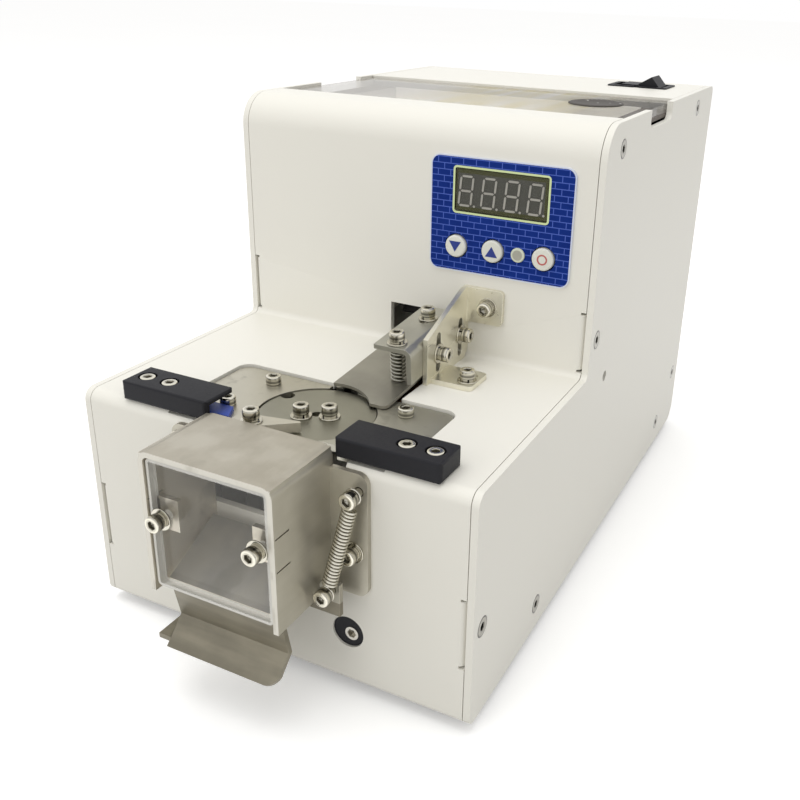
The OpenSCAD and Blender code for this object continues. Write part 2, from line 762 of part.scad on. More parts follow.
module table_plate() color("lightgray") seat() difference() {
    translate([feed_x, 0, table_z - table_t]) linear_extrude(table_t) table_outline();
    at_table_posts() translate([0, 0, table_z]) hole(table_t + past);
    translate([disc_x + arm_bolt[0], disc_y + arm_bolt[1], table_z]) hole(table_t + past, tap_fit);
}

module table_screws() color("silver") seat() at_table_posts()
    translate([0, 0, table_z]) cap_screw(table_t + 6);

module standoffs() color("silver") seat() at_table_posts() {
    translate([0, 0, sheet_t]) cylinder(h = motor_z - sheet_t, r = post_r);
    translate([0, 0, motor_z + motor_plate_t]) difference() {
        cylinder(h = table_z - table_t - motor_z - motor_plate_t, r = post_r);
        translate([0, 0, 4]) cylinder(h = table_z, r = screw_d / 2 + tap_fit);
    }
}

module motor_plate() color("silver") seat() translate([disc_x, disc_y, motor_z]) linear_extrude(motor_plate_t)
    difference() {
        soft_rect(2 * (table_posts[3][0] + post_r + 1), 30, 3);
        circle(shaft_r + 0.4);
    }

module turntable_motor() color("dimgray") seat() translate([disc_x, disc_y, 0]) difference() {
    union() {
        translate([0, 0, motor_z - 22]) cylinder(h = 22, r = 16.5);
        translate([0, 0, sheet_t + 2]) cylinder(h = motor_z - 22 - sheet_t - 2, r = 14);
    }
    translate([0, 0, motor_z - 10]) cylinder(h = 10 + past, r = shaft_r + run_fit);
}

module turntable_hub() color("silver") seat() translate([disc_x, disc_y, 0]) difference() {
    union() {
        translate([0, 0, disc_top - disc_t - hub_t]) cylinder(h = hub_t, r = 9);
        translate([0, 0, motor_z - 9]) cylinder(h = disc_top - disc_t - hub_t - motor_z + 9, r = shaft_r);
    }
    for (b = disc_bolts) translate([b[0], b[1], disc_top]) hole(disc_t + hub_t + past, tap_fit);
}

module turntable_disc() color("gray") seat() translate([disc_x, disc_y, disc_top - disc_t])
    linear_extrude(disc_t) difference() {
        circle(disc_r, $fn = 96);
        circle(1.5);
        for (a = notch_at) rotate(a) translate([disc_r - notch_d / 4, 0]) circle(d = notch_d);
        for (b = disc_bolts) translate(b) circle(screw_d / 2 + fit);
    }

module disc_screws() color("silver") seat() for (b = disc_bolts)
    translate([disc_x + b[0], disc_y + b[1], disc_top]) washered_screw(disc_t + hub_t - 0.5);

module deflector_arm() color("silver") seat() translate([disc_x, disc_y, table_z]) difference() {
    linear_extrude(arm_t)
        polygon([[2.9, -11.6], [2.2, -11], [-8.7, -13.2], [-14.4, -14.8], [-14.4, -19.7], [-7.2, -19.7]]);
    translate([arm_bolt[0], arm_bolt[1], arm_t]) hole(arm_t + past);
}

module deflector_screw() color("silver") seat()
    translate([disc_x + arm_bolt[0], disc_y + arm_bolt[1], table_z + arm_t]) washered_screw(arm_t + table_t);

// Sensors

module sensor_block(s) seat() translate([feed_x + s * sensor_off, sensor_y, deck_h]) difference() {
    soft_block([sensor_l, sensor_d, sensor_h], 1.6);
    for (x = sensor_bolts) translate([s * x, 0, sensor_h]) {
        hole(sensor_h + past);
        translate([0, 0, -head_h]) cylinder(h = head_h + past, d = head_d + 0.8);
    }
    translate([-s * (sensor_l / 2 + past), 0, sensor_h / 2]) rotate([0, s * 90, 0]) cylinder(h = 4, r = 1.2);
}

// The left block is open at its inner end, where the blue emitter lies
module sensor_block_left() color([0.13, 0.13, 0.15]) difference() {
    sensor_block(-1);
    seat() translate([feed_x - sensor_off + sensor_l / 2, sensor_y - sensor_d / 2 + 1.5, deck_h - past])
        translate([-pocket_l, 0, 0]) cube([pocket_l + past, sensor_d, sensor_h - sensor_wall + past]);
}

module sensor_block_right() color([0.13, 0.13, 0.15]) sensor_block(1);

module sensor_screws() color("silver") seat() for (s = [-1, 1], x = sensor_bolts)
    translate([feed_x + s * (sensor_off + x), sensor_y, deck_h + sensor_h - head_h])
        cap_screw(sensor_h - head_h + sheet_t);

module sensor_tab() color("royalblue") seat() translate([feed_x, 0, table_z]) linear_extrude(1.2)
    polygon([[-26, 4.6], [-16.4, 5], [-18.9, 10.4], [-26, 10.4]]);

// Feed rail and its drive

module feed_rail() color("silver") seat() tilted() difference() {
    translate([-rail_w / 2, 0, -rail_h]) cube([rail_w, rail_l, rail_h]);
    translate([-rail_slot / 2, -past, -rail_h + 4]) cube([rail_slot, rail_l + 2 * past, rail_h]);
}

function rail_under(y) = rail_z + (y - rail_y) * tan(feed_tilt) - rail_h / cos(feed_tilt);

module rail_springs() color("silver") seat() for (y = leaf_at)
    translate([feed_x - rail_w / 2, y, plinth_z]) cube([rail_w, leaf_t, rail_under(y) - fit - plinth_z]);

module rail_base() color("dimgray") seat() translate([feed_x - 10, leaf_at[0] - 6, sheet_t])
    cube([20, leaf_at[1] - leaf_at[0] + 12, plinth_z - sheet_t]);

module drive_magnet() color("peru") seat() {
    magnet_y = (leaf_at[0] + leaf_at[1]) / 2;
    translate([feed_x, magnet_y, plinth_z]) cylinder(h = rail_under(magnet_y) - 2.4 - plinth_z, r = 9);
}

// Guide over the rail's front end

module guide_outline() difference() {
    translate([guide_x0, guide_y0 - 10]) square([guide_w, guide_y1 - guide_y0 + 10]);
    translate([0, disc_y - rail_y + guide_y0]) circle(guide_arc, $fn = 96);
    translate([guide_x0 + guide_w, guide_y0 - 10]) mirror([1, 0]) corner(2);
    for (y = guide_bolts) translate([guide_bolt_x, y]) circle(screw_d / 2 + tap_fit);
}

module guide_plate() color("gray") seat() tilted() translate([0, 0, guide_gap])
    linear_extrude(guide_t) guide_outline();

module guide_screws() color("silver") seat() tilted() for (y = guide_bolts)
    translate([guide_bolt_x, y, hanger_h + 0.02]) washered_screw(hanger_h - guide_gap);

// Coil of a compression spring, as a ribbed sleeve
module guide_springs() color("silver") seat() tilted() for (y = guide_bolts)
    translate([guide_bolt_x, y, guide_gap + guide_t]) {
        coil_h = hanger_h - bracket_t - guide_gap - guide_t;
        turns = 9;
        pitch = (coil_h - 2 * wire_r) / (turns - 1);
        rotate_extrude() {
            translate([guide_spring_r - 0.55, 0]) square([0.25, coil_h]);
            for (i = [0 : turns - 1]) translate([guide_spring_r - wire_r, wire_r + i * pitch]) circle(wire_r);
        }
    }

module guide_hanger() color("silver") seat() tilted() difference() {
    along_y(hanger_y[0], hanger_y[1] - hanger_y[0]) difference() {
        union() {
            translate([hanger_x0, hanger_h - bracket_t]) square([hanger_x1 - hanger_x0, bracket_t]);
            translate([hanger_x1 - bracket_t, guide_gap + guide_t + guide_lift + fit])
                square([bracket_t, hanger_h - guide_gap - guide_t - guide_lift - fit]);
            translate([hanger_x1 - bracket_t, hanger_h - bracket_t]) rotate(180) corner(1);
        }
        translate([hanger_x1, hanger_h]) rotate(180) corner(1 + bracket_t);
    }
    translate([guide_bolt_x, guide_bolts[0], hanger_h]) hole(bracket_t + past, 0.2);
    translate([guide_bolt_x, guide_bolts[1] - 2.5, hanger_h - bracket_t - past])
        linear_extrude(bracket_t + 2 * past) slot(4, screw_d / 2 + 0.2);
    for (b = clamp_bolts) translate([hanger_x1, b[0], b[1]]) facing_right() hole(bracket_t + past, tap_fit);
}

// Place of a clamping screw, seen from the side
function clamp_y(b) = rail_y + b[0] * cos(feed_tilt) - b[1] * sin(feed_tilt);
function clamp_z(b) = rail_z + b[0] * sin(feed_tilt) + b[1] * cos(feed_tilt);
bracket_x = feed_x + hanger_x1;

module bracket_side() difference() {
    polygon([[bracket_y0, deck_h], [bracket_y0, deck_h + 14.1], [bracket_y0 + 2.4, deck_h + 15],
        [deck_d - 3.2, deck_h + bracket_rise], [deck_d, deck_h + bracket_rise],
        [deck_d, deck_h + step_r + 0.4], [deck_d - step_r - 0.4, deck_h]]);
    for (b = clamp_bolts) translate([clamp_y(b), deck_h + 3.4]) slot(9.4, screw_d / 2 + 0.15);
}

module bracket_ear() difference() {
    translate([0, deck_h + bracket_rise - ear_h]) square([ear_w, ear_h]);
    translate([ear_w, deck_h + bracket_rise]) rotate(180) corner(1.5);
    translate([ear_w, deck_h + bracket_rise - ear_h]) mirror([1, 0]) corner(1.5);
    translate([ear_bolt[0], deck_h + bracket_rise - ear_bolt[1]]) circle(screw_d / 2 + fit);
}

module bracket_foot() difference() {
    translate([0, bracket_y0 + foot_y[0]]) square([foot_w, foot_y[1] - foot_y[0]]);
    translate([foot_w, bracket_y0 + foot_y[0]]) mirror([1, 0]) corner(1.5);
    translate([foot_w, bracket_y0 + foot_y[1]]) rotate(180) corner(1.5);
    translate([bracket_t + foot_bolt[0], bracket_y0 + foot_bolt[1]]) slot(4.4, screw_d / 2 + 0.15);
}

module guide_bracket() color("silver") seat() translate([bracket_x, 0, 0]) {
    along_x(0, bracket_t) bracket_side();
    along_y(deck_d - bracket_t, bracket_t) bracket_ear();
    translate([0, 0, deck_h]) linear_extrude(bracket_t) bracket_foot();
}

module bracket_screws() color("silver") seat() translate([bracket_x, 0, 0]) {
    for (b = clamp_bolts) translate([bracket_t, clamp_y(b), clamp_z(b)])
        facing_right() washered_screw(2 * bracket_t + 1);
    translate([ear_bolt[0], deck_d - bracket_t, deck_h + bracket_rise - ear_bolt[1]])
        facing_front() washered_screw(bracket_t + sheet_t);
    translate([bracket_t + foot_bolt[0], bracket_y0 + foot_bolt[1], deck_h + bracket_t])
        washered_screw(bracket_t + sheet_t);
}

// Catch box

module box_shell() difference() {
    translate([0, box_h / 2]) square([box_w, box_h], center = true);
    translate([-box_half + box_t, -past]) square([box_w - 2 * box_t, box_h + past - box_t]);
    for (s = [0, 1]) mirror([s, 0]) translate([box_half, box_h]) rotate(180) corner(3);
}

module box_corners() for (s = [0, 1]) mirror([s, 0])
    translate([box_half - box_t, box_h - box_t]) rotate(180) corner(3 - box_t);

module box_flange() difference() {
    translate([box_half - box_t, flange_z[0]]) square([flange_w + box_t, flange_z[1] - flange_z[0]]);
    translate([box_half + flange_w, flange_z[0]]) mirror([1, 0]) corner(3);
    translate([box_half + flange_w, flange_z[1]]) rotate(180) corner(3);
    for (b = flange_bolts) translate(b) circle(screw_d / 2 + fit);
}

// Tabs bent in behind the window, that its screws are threaded into
module window_tab() difference() {
    translate([box_half - box_t - 7, -window_tab_h / 2]) square([7.2, window_tab_h]);
    translate([window_bolt_x, 0]) circle(screw_d / 2 + tap_fit);
}

module catch_box() color("silver") seat() difference() {
    translate([feed_x, 0, box_z]) {
        along_y(-box_d, box_d) {
            box_shell();
            box_corners();
        }
        for (s = [0, 1]) mirror([s, 0, 0]) {
            along_y(-box_t, box_t) box_flange();
            translate([0, 0, window_bolt_z - box_z]) along_y(window_y + window_t, box_t) window_tab();
        }
    }
    for (s = [-1, 1]) translate([feed_x + s * box_half - 2, window_y, window_bolt_z - 0.2])
        for (e = [-1, 1]) translate([0, 0, e * window_tab_h / 2]) cube([4, window_t + box_t + 1.4, 0.4]);
    translate([feed_x - box_w, hinge_y, hinge_z]) facing_right()
        cylinder(h = 2 * box_w, r = pin_d / 2 + tap_fit);
}

module box_window() color("lightcyan", 0.4) seat() translate([feed_x, 0, box_z]) along_y(window_y, window_t)
    difference() {
        translate([0, (box_h - box_t + 1.2) / 2]) soft_rect(box_w - 2 * box_t - 0.6, box_h - box_t - 2, 1.4);
        for (s = [-1, 1]) translate([s * window_bolt_x, window_bolt_z - box_z]) circle(screw_d / 2 + fit);
    }

module window_screws() color("silver") seat() for (s = [-1, 1])
    translate([feed_x + s * window_bolt_x, window_y, window_bolt_z]) facing_front()
        washered_screw(window_t + box_t + 0.8);

// Flange screws; the upper right one stands out to hold the spring
module box_screws() color("silver") seat() for (s = [-1, 1], i = [0, 1])
    translate([feed_x + s * flange_bolts[i][0], -box_t, box_z + flange_bolts[i][1]]) facing_front() {
        if (s > 0 && i == 0) translate([0, 0, post_out]) cap_screw(post_out + box_t + sheet_t);
        else washered_screw(box_t + sheet_t);
    }

// Trap door: sloping floor, neck and flared tab on a hinge at the rear of the box

function door_at(p) = [p[0], box_z + p[1]];
function door_floor_z(y) = let (a = door_line[0], b = door_line[1])
    box_z + a[1] + (b[1] - a[1]) * (y - a[0]) / (b[0] - a[0]);

// The end of the tab, and the round on its right corner
tab_end = door_line[2] + tab_l * [cos(tab_turn), sin(tab_turn)];
module tab_round() translate([0, door_line[2][0], box_z + door_line[2][1]]) rotate([tab_turn, 0, 0])
    translate([door_half + 0.15, tab_l + 0.15, -2 * door_t])
        linear_extrude(4 * door_t) rotate(180) corner(4.5);

module door_leg() along_y(hinge_y - door_t / 2, door_t) {
    translate([-door_half, door_step_z]) square([2 * door_half, door_floor_z(hinge_y) - door_step_z]);
    translate([-door_half, door_step_z - 3]) square([door_half + ear_x[1], 3]);
    translate([ear_x[0], door_step_z - 3]) square([ear_x[1] - ear_x[0], post_low[1] + 4.8 - door_step_z]);
}

module trap_door() color("silver") seat() translate([feed_x, 0, 0]) difference() {
    union() {
        along_x(-door_half, 2 * door_half)
            polygon(strip([for (p = concat(door_line, [tab_end])) door_at(p)], door_t));
        door_leg();
        translate([-knuckle_half, hinge_y, hinge_z]) facing_right()
            cylinder(h = 2 * knuckle_half, r = knuckle_r);
        translate([-door_half - 4, -22.8, box_z - 17.5]) cube([5, 8.1, door_t]);
    }
    tab_round();
    translate([-knuckle_half - past / 2, hinge_y, hinge_z]) facing_right()
        cylinder(h = 2 * knuckle_half + past, r = pin_d / 2 + run_fit);
    translate([post_low[0], hinge_y, post_low[1]]) facing_front() hole(door_t, tap_fit);
}

module door_post() color("silver") seat() translate([feed_x + post_low[0], hinge_y - door_t / 2, post_low[1]])
    facing_front() translate([0, 0, post_reach]) cap_screw(post_reach + door_t + 0.6);

module door_pin() color("silver") seat() translate([feed_x - box_half - 1.2, hinge_y, hinge_z])
    facing_right() {
    cylinder(h = box_w + 1.2, d = pin_d);
    cylinder(h = 1.2, d = pin_d + 1.6);
}

// Tension spring, as a ribbed rod with a ring at each end
module door_spring() color("silver") seat() {
    high = [feed_x + post_high[0], hook_high_y, post_high[1]];
    low = [feed_x + post_low[0], hook_low_y, post_low[1]];
    run = high - low;
    ring_r = screw_d / 2 + 0.35 + wire_r;
    coil_l = norm(run) - 2 * ring_r - hook_l[0] - hook_l[1];
    turns = floor(coil_l / (3 * wire_r));
    for (p = [high, low]) translate(p) facing_front() rotate_extrude() translate([ring_r, 0]) circle(wire_r);
    translate(low) rotate([0, acos(run[2] / norm(run)), atan2(run[1], run[0])]) {
        translate([0, 0, ring_r]) cylinder(h = norm(run) - 2 * ring_r, r = wire_r);
        translate([0, 0, ring_r + hook_l[0]]) rotate_extrude() {
            square([spring_d / 2 - wire_r, coil_l]);
            for (i = [0 : turns - 1]) translate([spring_d / 2 - wire_r, coil_l * (i + 0.5) / turns])
                circle(wire_r);
        }
    }
}

// Adjusting screw behind the hole in the front face

module adjust_block() color("black") seat() difference() {
    union() {
        translate([adjust_x - 8, sheet_t, sheet_t]) cube([16, 8, adjust_z + 8 - sheet_t]);
        translate([adjust_x, sheet_t + 1, adjust_z]) facing_front()
            cylinder(h = sheet_t + 0.4, r = adjust_r - 0.1);
    }
    translate([adjust_x + 0.9, 0, adjust_z - 0.5]) facing_front() translate([0, 0, -8])
        cylinder(h = 10, d = adjust_d + 2 * tap_fit);
}

module adjust_screw() color("silver") seat() translate([adjust_x + 0.9, 0.4, adjust_z - 0.5]) facing_front()
    translate([0, 0, -7]) difference() {
        cylinder(h = 7, d = adjust_d);
        translate([0, 0, 5]) cylinder(h = 2 + past, r = 1.35, $fn = 6);
    }

// Electronics

module control_board() color("seagreen") seat() translate([7.3 - half_in, body_d - 98, 0]) {
    translate([0, 0, 8]) cube([36, 78, 1.6]);
    for (x = [4, 32], y = [4, 74]) translate([x, y, sheet_t]) cylinder(h = 7, r = 2.5);
    translate([6, 18, 9]) cube([14, 18, 12]);
    translate([22, 14, 9]) cube([8, 30, 6]);
    for (y = [52, 62]) translate([12, y, 9]) cylinder(h = 14, r = 4);
}

module power_inlet() color("black") seat() translate([inlet_x, body_d, inlet_z]) facing_front() difference() {
    union() {
        cylinder(h = 12, r = inlet_r);
        translate([0, 0, sheet_t]) cylinder(h = 2.5, r = inlet_r + 2);
    }
    translate([0, 0, -past]) cylinder(h = 9 + past, r = 2.9);
}

right_side_plate();
left_side_plate();
front_cover();
rear_cover();
base_plate();
rubber_feet();
panel_screws();
hopper_lid();
hopper_tray();
display_panel();
display_window();
digit_module();
display_board();
button_down();
button_up();
button_set();
indicator_lens();
switch_housing();
switch_rocker();
table_plate();
table_screws();
standoffs();
motor_plate();
turntable_motor();
turntable_hub();
turntable_disc();
disc_screws();
deflector_arm();
deflector_screw();
sensor_block_left();
sensor_block_right();
sensor_screws();
sensor_tab();
feed_rail();
rail_springs();
rail_base();
drive_magnet();
guide_plate();
guide_screws();
guide_springs();
guide_hanger();
guide_bracket();
bracket_screws();
catch_box();
box_window();
window_screws();
box_screws();
trap_door();
door_post();
door_pin();
door_spring();
adjust_block();
adjust_screw();
lift_scoop();
lift_motor();
lift_bracket();
brush();
brush_motor();
control_board();
power_inlet();
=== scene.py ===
# %% [markdown]
# # A bench screw feeder
# The solids of the machine come in as a fixed frame, in metres: white covers, a hopper, a turntable, a
# sprung guide and a steel catch box. This lesson gives each of them its finish, and adds what solids
# leave plain: softened edges, socket screws, wound springs and the printed display.

# %% Load the frame
import json
import math
from collections import namedtuple

import bmesh
import bpy
from mathutils import Matrix, Vector

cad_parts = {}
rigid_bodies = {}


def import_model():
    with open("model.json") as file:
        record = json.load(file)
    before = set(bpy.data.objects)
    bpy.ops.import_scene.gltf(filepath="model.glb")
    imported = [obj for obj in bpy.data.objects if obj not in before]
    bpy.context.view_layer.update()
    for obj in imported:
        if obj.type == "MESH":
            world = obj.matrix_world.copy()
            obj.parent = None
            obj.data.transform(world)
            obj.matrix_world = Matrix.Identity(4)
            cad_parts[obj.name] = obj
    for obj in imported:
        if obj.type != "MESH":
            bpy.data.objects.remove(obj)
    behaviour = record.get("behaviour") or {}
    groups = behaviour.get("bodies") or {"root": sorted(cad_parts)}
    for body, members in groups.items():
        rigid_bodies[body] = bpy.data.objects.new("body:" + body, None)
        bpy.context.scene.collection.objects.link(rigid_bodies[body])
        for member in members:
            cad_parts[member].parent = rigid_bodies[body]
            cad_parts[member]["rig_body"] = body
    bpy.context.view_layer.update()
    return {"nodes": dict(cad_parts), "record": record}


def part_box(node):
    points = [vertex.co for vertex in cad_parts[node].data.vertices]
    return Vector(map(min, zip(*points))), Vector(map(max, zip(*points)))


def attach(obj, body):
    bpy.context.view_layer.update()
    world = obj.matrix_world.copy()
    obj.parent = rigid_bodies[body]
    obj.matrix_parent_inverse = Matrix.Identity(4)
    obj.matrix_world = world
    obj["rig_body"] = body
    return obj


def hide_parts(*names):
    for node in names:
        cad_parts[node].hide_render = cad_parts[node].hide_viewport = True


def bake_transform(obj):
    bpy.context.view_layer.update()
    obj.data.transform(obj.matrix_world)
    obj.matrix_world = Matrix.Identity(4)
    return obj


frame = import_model()
scene = bpy.context.scene

# %% [markdown]
# ## Where things are
# The machine was measured in millimetres from its front face and the lower edge of its side plates. The
# same numbers are used here, and one helper turns them into the frame's metres. Places could all be
# typed, but many of them are read back from the solids' boxes, so these can't drift away from the solids.

# %% Places
MM = 0.001
plate_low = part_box("right_side_plate")[0]
START = Vector((0, plate_low.y, plate_low.z))
UP, FRONT, RIGHT = Vector((0, 0, 1)), Vector((0, -1, 0)), Vector((1, 0, 0))


def at(x, y, z):
    return START + Vector((x, y, z)) * MM


def corners_of(node):
    """A solid's low and high corner in the machine's millimetres."""
    return [(corner - START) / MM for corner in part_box(node)]


def middle_of(node):
    low, high = corners_of(node)
    return (low + high) / 2


def half_of(node):
    low, high = corners_of(node)
    return (high - low) / 2


def front_of(node):
    return corners_of(node)[0].y


def top_of(node):
    return corners_of(node)[1].z


print("front face at y =", round(START.y, 4), "m")

# %% [markdown]
# ## The feed line
# Screws slide down a rail that tilts by a few degrees, and the guide above it and its hanger tilt with
# it. Their screws and springs are placed in the rail's own frame, which starts at its lower end.

# %% Feed line
FEED_X = middle_of("feed_rail").x
RAIL_Z, RAIL_TILT = 67.4, math.radians(4.5)
RAIL_END = Vector((FEED_X, front_of("feed_rail"), RAIL_Z))
SLOPE = Matrix.Rotation(RAIL_TILT, 3, "X")


def on_slope(x, y, z):
    return at(*(SLOPE @ Vector((x, y, z)) + RAIL_END))


print("rail ends at", [round(v, 2) for v in RAIL_END], "mm")

# %% [markdown]
# ## The camera
# A camera can be placed by eye, but then edges never quite line up. This one was fitted to the
# photograph's own edges: a 41.6 mm lens on a 36 mm sensor, a little to the right of the machine and above
# it. The picture is a crop, so the lens is shifted by a few percent of the frame.

# %% Camera
EYE = at(133.7, -169.5, 177.9)
across = Vector((0.8957, 0.4439, 0.0267)).normalized()
ahead = Vector((-0.4012, 0.8326, -0.3818)).normalized()
camera_data = bpy.data.cameras.new("camera")
camera_data.sensor_width = 36
camera_data.lens = 41.616
camera_data.shift_x = -0.05825
camera_data.shift_y = -0.04775
camera_data.clip_start = 0.01
camera = bpy.data.objects.new("camera", camera_data)
turn = Matrix((across, across.cross(ahead).normalized(), -ahead)).transposed()
camera.matrix_world = Matrix.Translation(EYE) @ turn.to_4x4()
scene.collection.objects.link(camera)
scene.camera = camera
print("camera at", [round(v, 3) for v in EYE])

# %% [markdown]
# ## Node trees as Python
# A finish is a small tree of nodes, and so is a shape that repeats. Their links could be written one by
# one, but that is slow to read. So one class wraps a socket and takes Python's operators, each of which
# adds a Math node.


# %% Wires
class Wire:
    """One output of a node, which Python's operators work on."""

    def __init__(self, tree, socket):
        self.tree, self.socket = tree, socket

    def math(self, operation, *others):
        return self.tree.add("ShaderNodeMath", {"operation": operation}, self, *others)

    def __add__(self, other):
        return self.math("ADD", other)

    def __mul__(self, other):
        return self.math("MULTIPLY", other)

    __radd__, __rmul__ = __add__, __mul__

    def __sub__(self, other):
        return self.math("SUBTRACT", other)

    def __rsub__(self, other):
        return self.tree.add("ShaderNodeMath", {"operation": "SUBTRACT"}, other, self)

    def __truediv__(self, other):
        return self.math("DIVIDE", other)

    def __lt__(self, other):
        return self.math("LESS_THAN", other)

    def __gt__(self, other):
        return self.math("GREATER_THAN", other)

    def __abs__(self):
        return self.math("ABSOLUTE")

    def ramp(self, low, high):
        """Zero up to low, one from high on, and a smooth step between."""
        smooth = {"interpolation_type": "SMOOTHSTEP"}
        return self.tree.add("ShaderNodeMapRange", smooth, self, low, high, 0, 1)


print("wires ready")

# %% [markdown]
# ## Any node in one call
# The second class adds a node by its type, its settings and its inputs, in order or by name. A setting
# such as an operation comes first, because it decides which sockets are there. Shader trees and shape
# trees share it.


# %% Node trees
class NodeTree:
    """Adds nodes of any type, and links or sets their sockets."""

    def __init__(self, tree):
        self.nodes, self.links = tree.nodes, tree.links

    def add(self, kind, settings, *values, output=None, **named):
        node = self.nodes.new(kind)
        for key, value in settings.items():
            setattr(node, key, value)
        inputs = [s for s in node.inputs if s.enabled]
        for socket, value in zip(inputs, values):
            self.plug(socket, value)
        for key, value in named.items():
            self.plug(next(s for s in inputs if s.name == key.replace("_", " ")), value)
        return Wire(self, next(s for s in node.outputs if s.enabled and output in (None, s.name)))

    def plug(self, socket, value):
        if isinstance(value, Wire):
            self.links.new(value.socket, socket)
        elif socket.type == "RGBA" and len(value) == 3:
            socket.default_value = (*value, 1)
        else:
            socket.default_value = value


print("node helpers ready")

# %% [markdown]
# ## What a finish is made of
# Every finish starts from the place on the piece and the way the surface faces, so its pattern sticks to
# the piece. An image could hold the pattern, but it would need a map of every piece. Noise at a few
# scales gives the grain, the clouding and the lines of a real surface without one.


# %% Finishes
class Finish(NodeTree):
    """A procedural material: nodes are added one by one, and the shader's sockets are set at the end."""

    def __init__(self, name):
        self.material = bpy.data.materials.new(name)
        self.material.use_nodes = True
        super().__init__(self.material.node_tree)
        self.shader = self.nodes["Principled BSDF"]
        place = self.nodes.new("ShaderNodeTexCoord")
        self.where = Wire(self, place.outputs["Object"])
        self.facing = Wire(self, place.outputs["Normal"])

    def set(self, **sockets):
        for name, value in sockets.items():
            self.plug(self.shader.inputs[name.replace("_", " ")], value)
        return self.material

    def split(self, vector):
        node = self.nodes.new("ShaderNodeSeparateXYZ")
        self.plug(node.inputs[0], vector)
        return [Wire(self, s) for s in node.outputs]

    def spot(self):
        """The place in the machine's own millimetres."""
        return [(axis - start) * (1 / MM) for axis, start in zip(self.split(self.where), START)]

    def grain(self, scale, stretch=(1, 1, 1), detail=3.0):
        """Noise with so many cells to a metre, drawn out along an axis whose stretch is small."""
        place = self.add("ShaderNodeMapping", {}, Vector=self.where, Scale=stretch)
        return self.add("ShaderNodeTexNoise", {}, Vector=place, Scale=scale, Detail=detail, output="Fac")

    def mix(self, share, first, second):
        return self.add("ShaderNodeMix", {"data_type": "RGBA"}, Factor=share, A=first, B=second)

    def bump(self, height, depth, strength):
        """Dents of a depth in mm."""
        return self.add("ShaderNodeBump", {}, Strength=strength, Distance=depth * MM, Height=height)


def shade(tone, factor):
    return tuple(min(1.0, c * factor) for c in tone)


FINISHES, BY_NODE = {}, {}
print("finish helpers ready")

# %% [markdown]
# ## White powder coat
# The covers are sheet steel with a warm white powder coat. It is never quite smooth: the powder melts
# into a fine orange peel, a few tenths of a millimetre across. No mesh is that fine, so a fine noise
# gives the peel as bump, and a slow one shifts the tone by a percent or two, so that large faces don't
# look like plastic.

# %% Powder coat
WARM_WHITE, SHEET_GREY = (0.80, 0.782, 0.715), (0.62, 0.61, 0.58)


def powder_coat(name, tone):
    f = Finish(name)
    peel = f.grain(2600, detail=2.0)
    cloud = f.grain(14, detail=4.0)
    coat = f.mix(cloud, shade(tone, 0.975), shade(tone, 1.02))
    return f.set(Base_Color=coat, Roughness=cloud * 0.08 + 0.36, IOR=1.46, Normal=f.bump(peel, 0.04, 0.35))


FINISHES["white_coat"] = powder_coat("white_coat", WARM_WHITE)
FINISHES["sheet_steel"] = powder_coat("sheet_coat", SHEET_GREY)
print("coats:", sorted(FINISHES))

# %% [markdown]
# ## Rolled metal
# The brackets and the guide are rolled sheet, plated or bare. Rolling leaves fine lines along one
# direction, so a noise that is stretched along that direction varies the roughness and a very shallow
# bump, and a broad noise clouds the tone as handling does. Satin plating scatters light, so some finishes
# are a little less than fully metallic.


# %% Metals
def rolled_metal(name, tone, rough, along, blotch=0.12, lines=0.5, satin=0.0):
    f = Finish(name)
    stretch = tuple(0.02 if axis == along else 1.0 for axis in "xyz")
    line = f.grain(5200, stretch, detail=2.0)
    broad = f.grain(700, stretch)
    cloud = f.grain(60, detail=5.0)
    pale = cloud.ramp(0.3, 0.7) * 0.7 + line * 0.3
    metal = f.mix(pale, shade(tone, 1 - blotch), shade(tone, 1 + blotch))
    return f.set(Base_Color=metal, Metallic=1.0 - satin,
                 Roughness=broad * 0.16 + line * 0.10 + (rough - 0.13), Normal=f.bump(line, 0.01, lines))


FINISHES["nickel"] = rolled_metal("satin_nickel", (0.46, 0.45, 0.39), 0.34, "x")
FINISHES["dark_steel"] = rolled_metal("ground_steel", (0.34, 0.33, 0.27), 0.40, "x", blotch=0.08)
FINISHES["screw_steel"] = rolled_metal("polished_pin", (0.60, 0.58, 0.53), 0.22, "z", blotch=0.05, lines=0.2)
FINISHES["motor_steel"] = rolled_metal("motor_can", (0.30, 0.30, 0.31), 0.42, "z")
FINISHES["copper"] = rolled_metal("coil_copper", (0.62, 0.34, 0.16), 0.35, "z")
BY_NODE["guide_plate"] = rolled_metal("guide_sheet", (0.34, 0.325, 0.28), 0.33, "y", blotch=0.2, satin=0.2)
BY_NODE["guide_hanger"] = rolled_metal("hanger_sheet", (0.50, 0.49, 0.43), 0.33, "y", blotch=0.2, satin=0.15)
# painted reflection: the bracket's very pale tone is raised so its front-facing ear shows the light it
# reflects
BY_NODE["guide_bracket"] = rolled_metal("bracket_sheet", (0.82, 0.79, 0.665), 0.31, "y", blotch=0.07,
                                        lines=0.15, satin=0.12)
BY_NODE["deflector_arm"] = rolled_metal("deflector_bar", (0.56, 0.53, 0.44), 0.34, "x", satin=0.3)
BY_NODE["lift_scoop"] = rolled_metal("yellow_zinc", (0.62, 0.50, 0.20), 0.34, "y")
print("rolled metals on", sorted(BY_NODE))
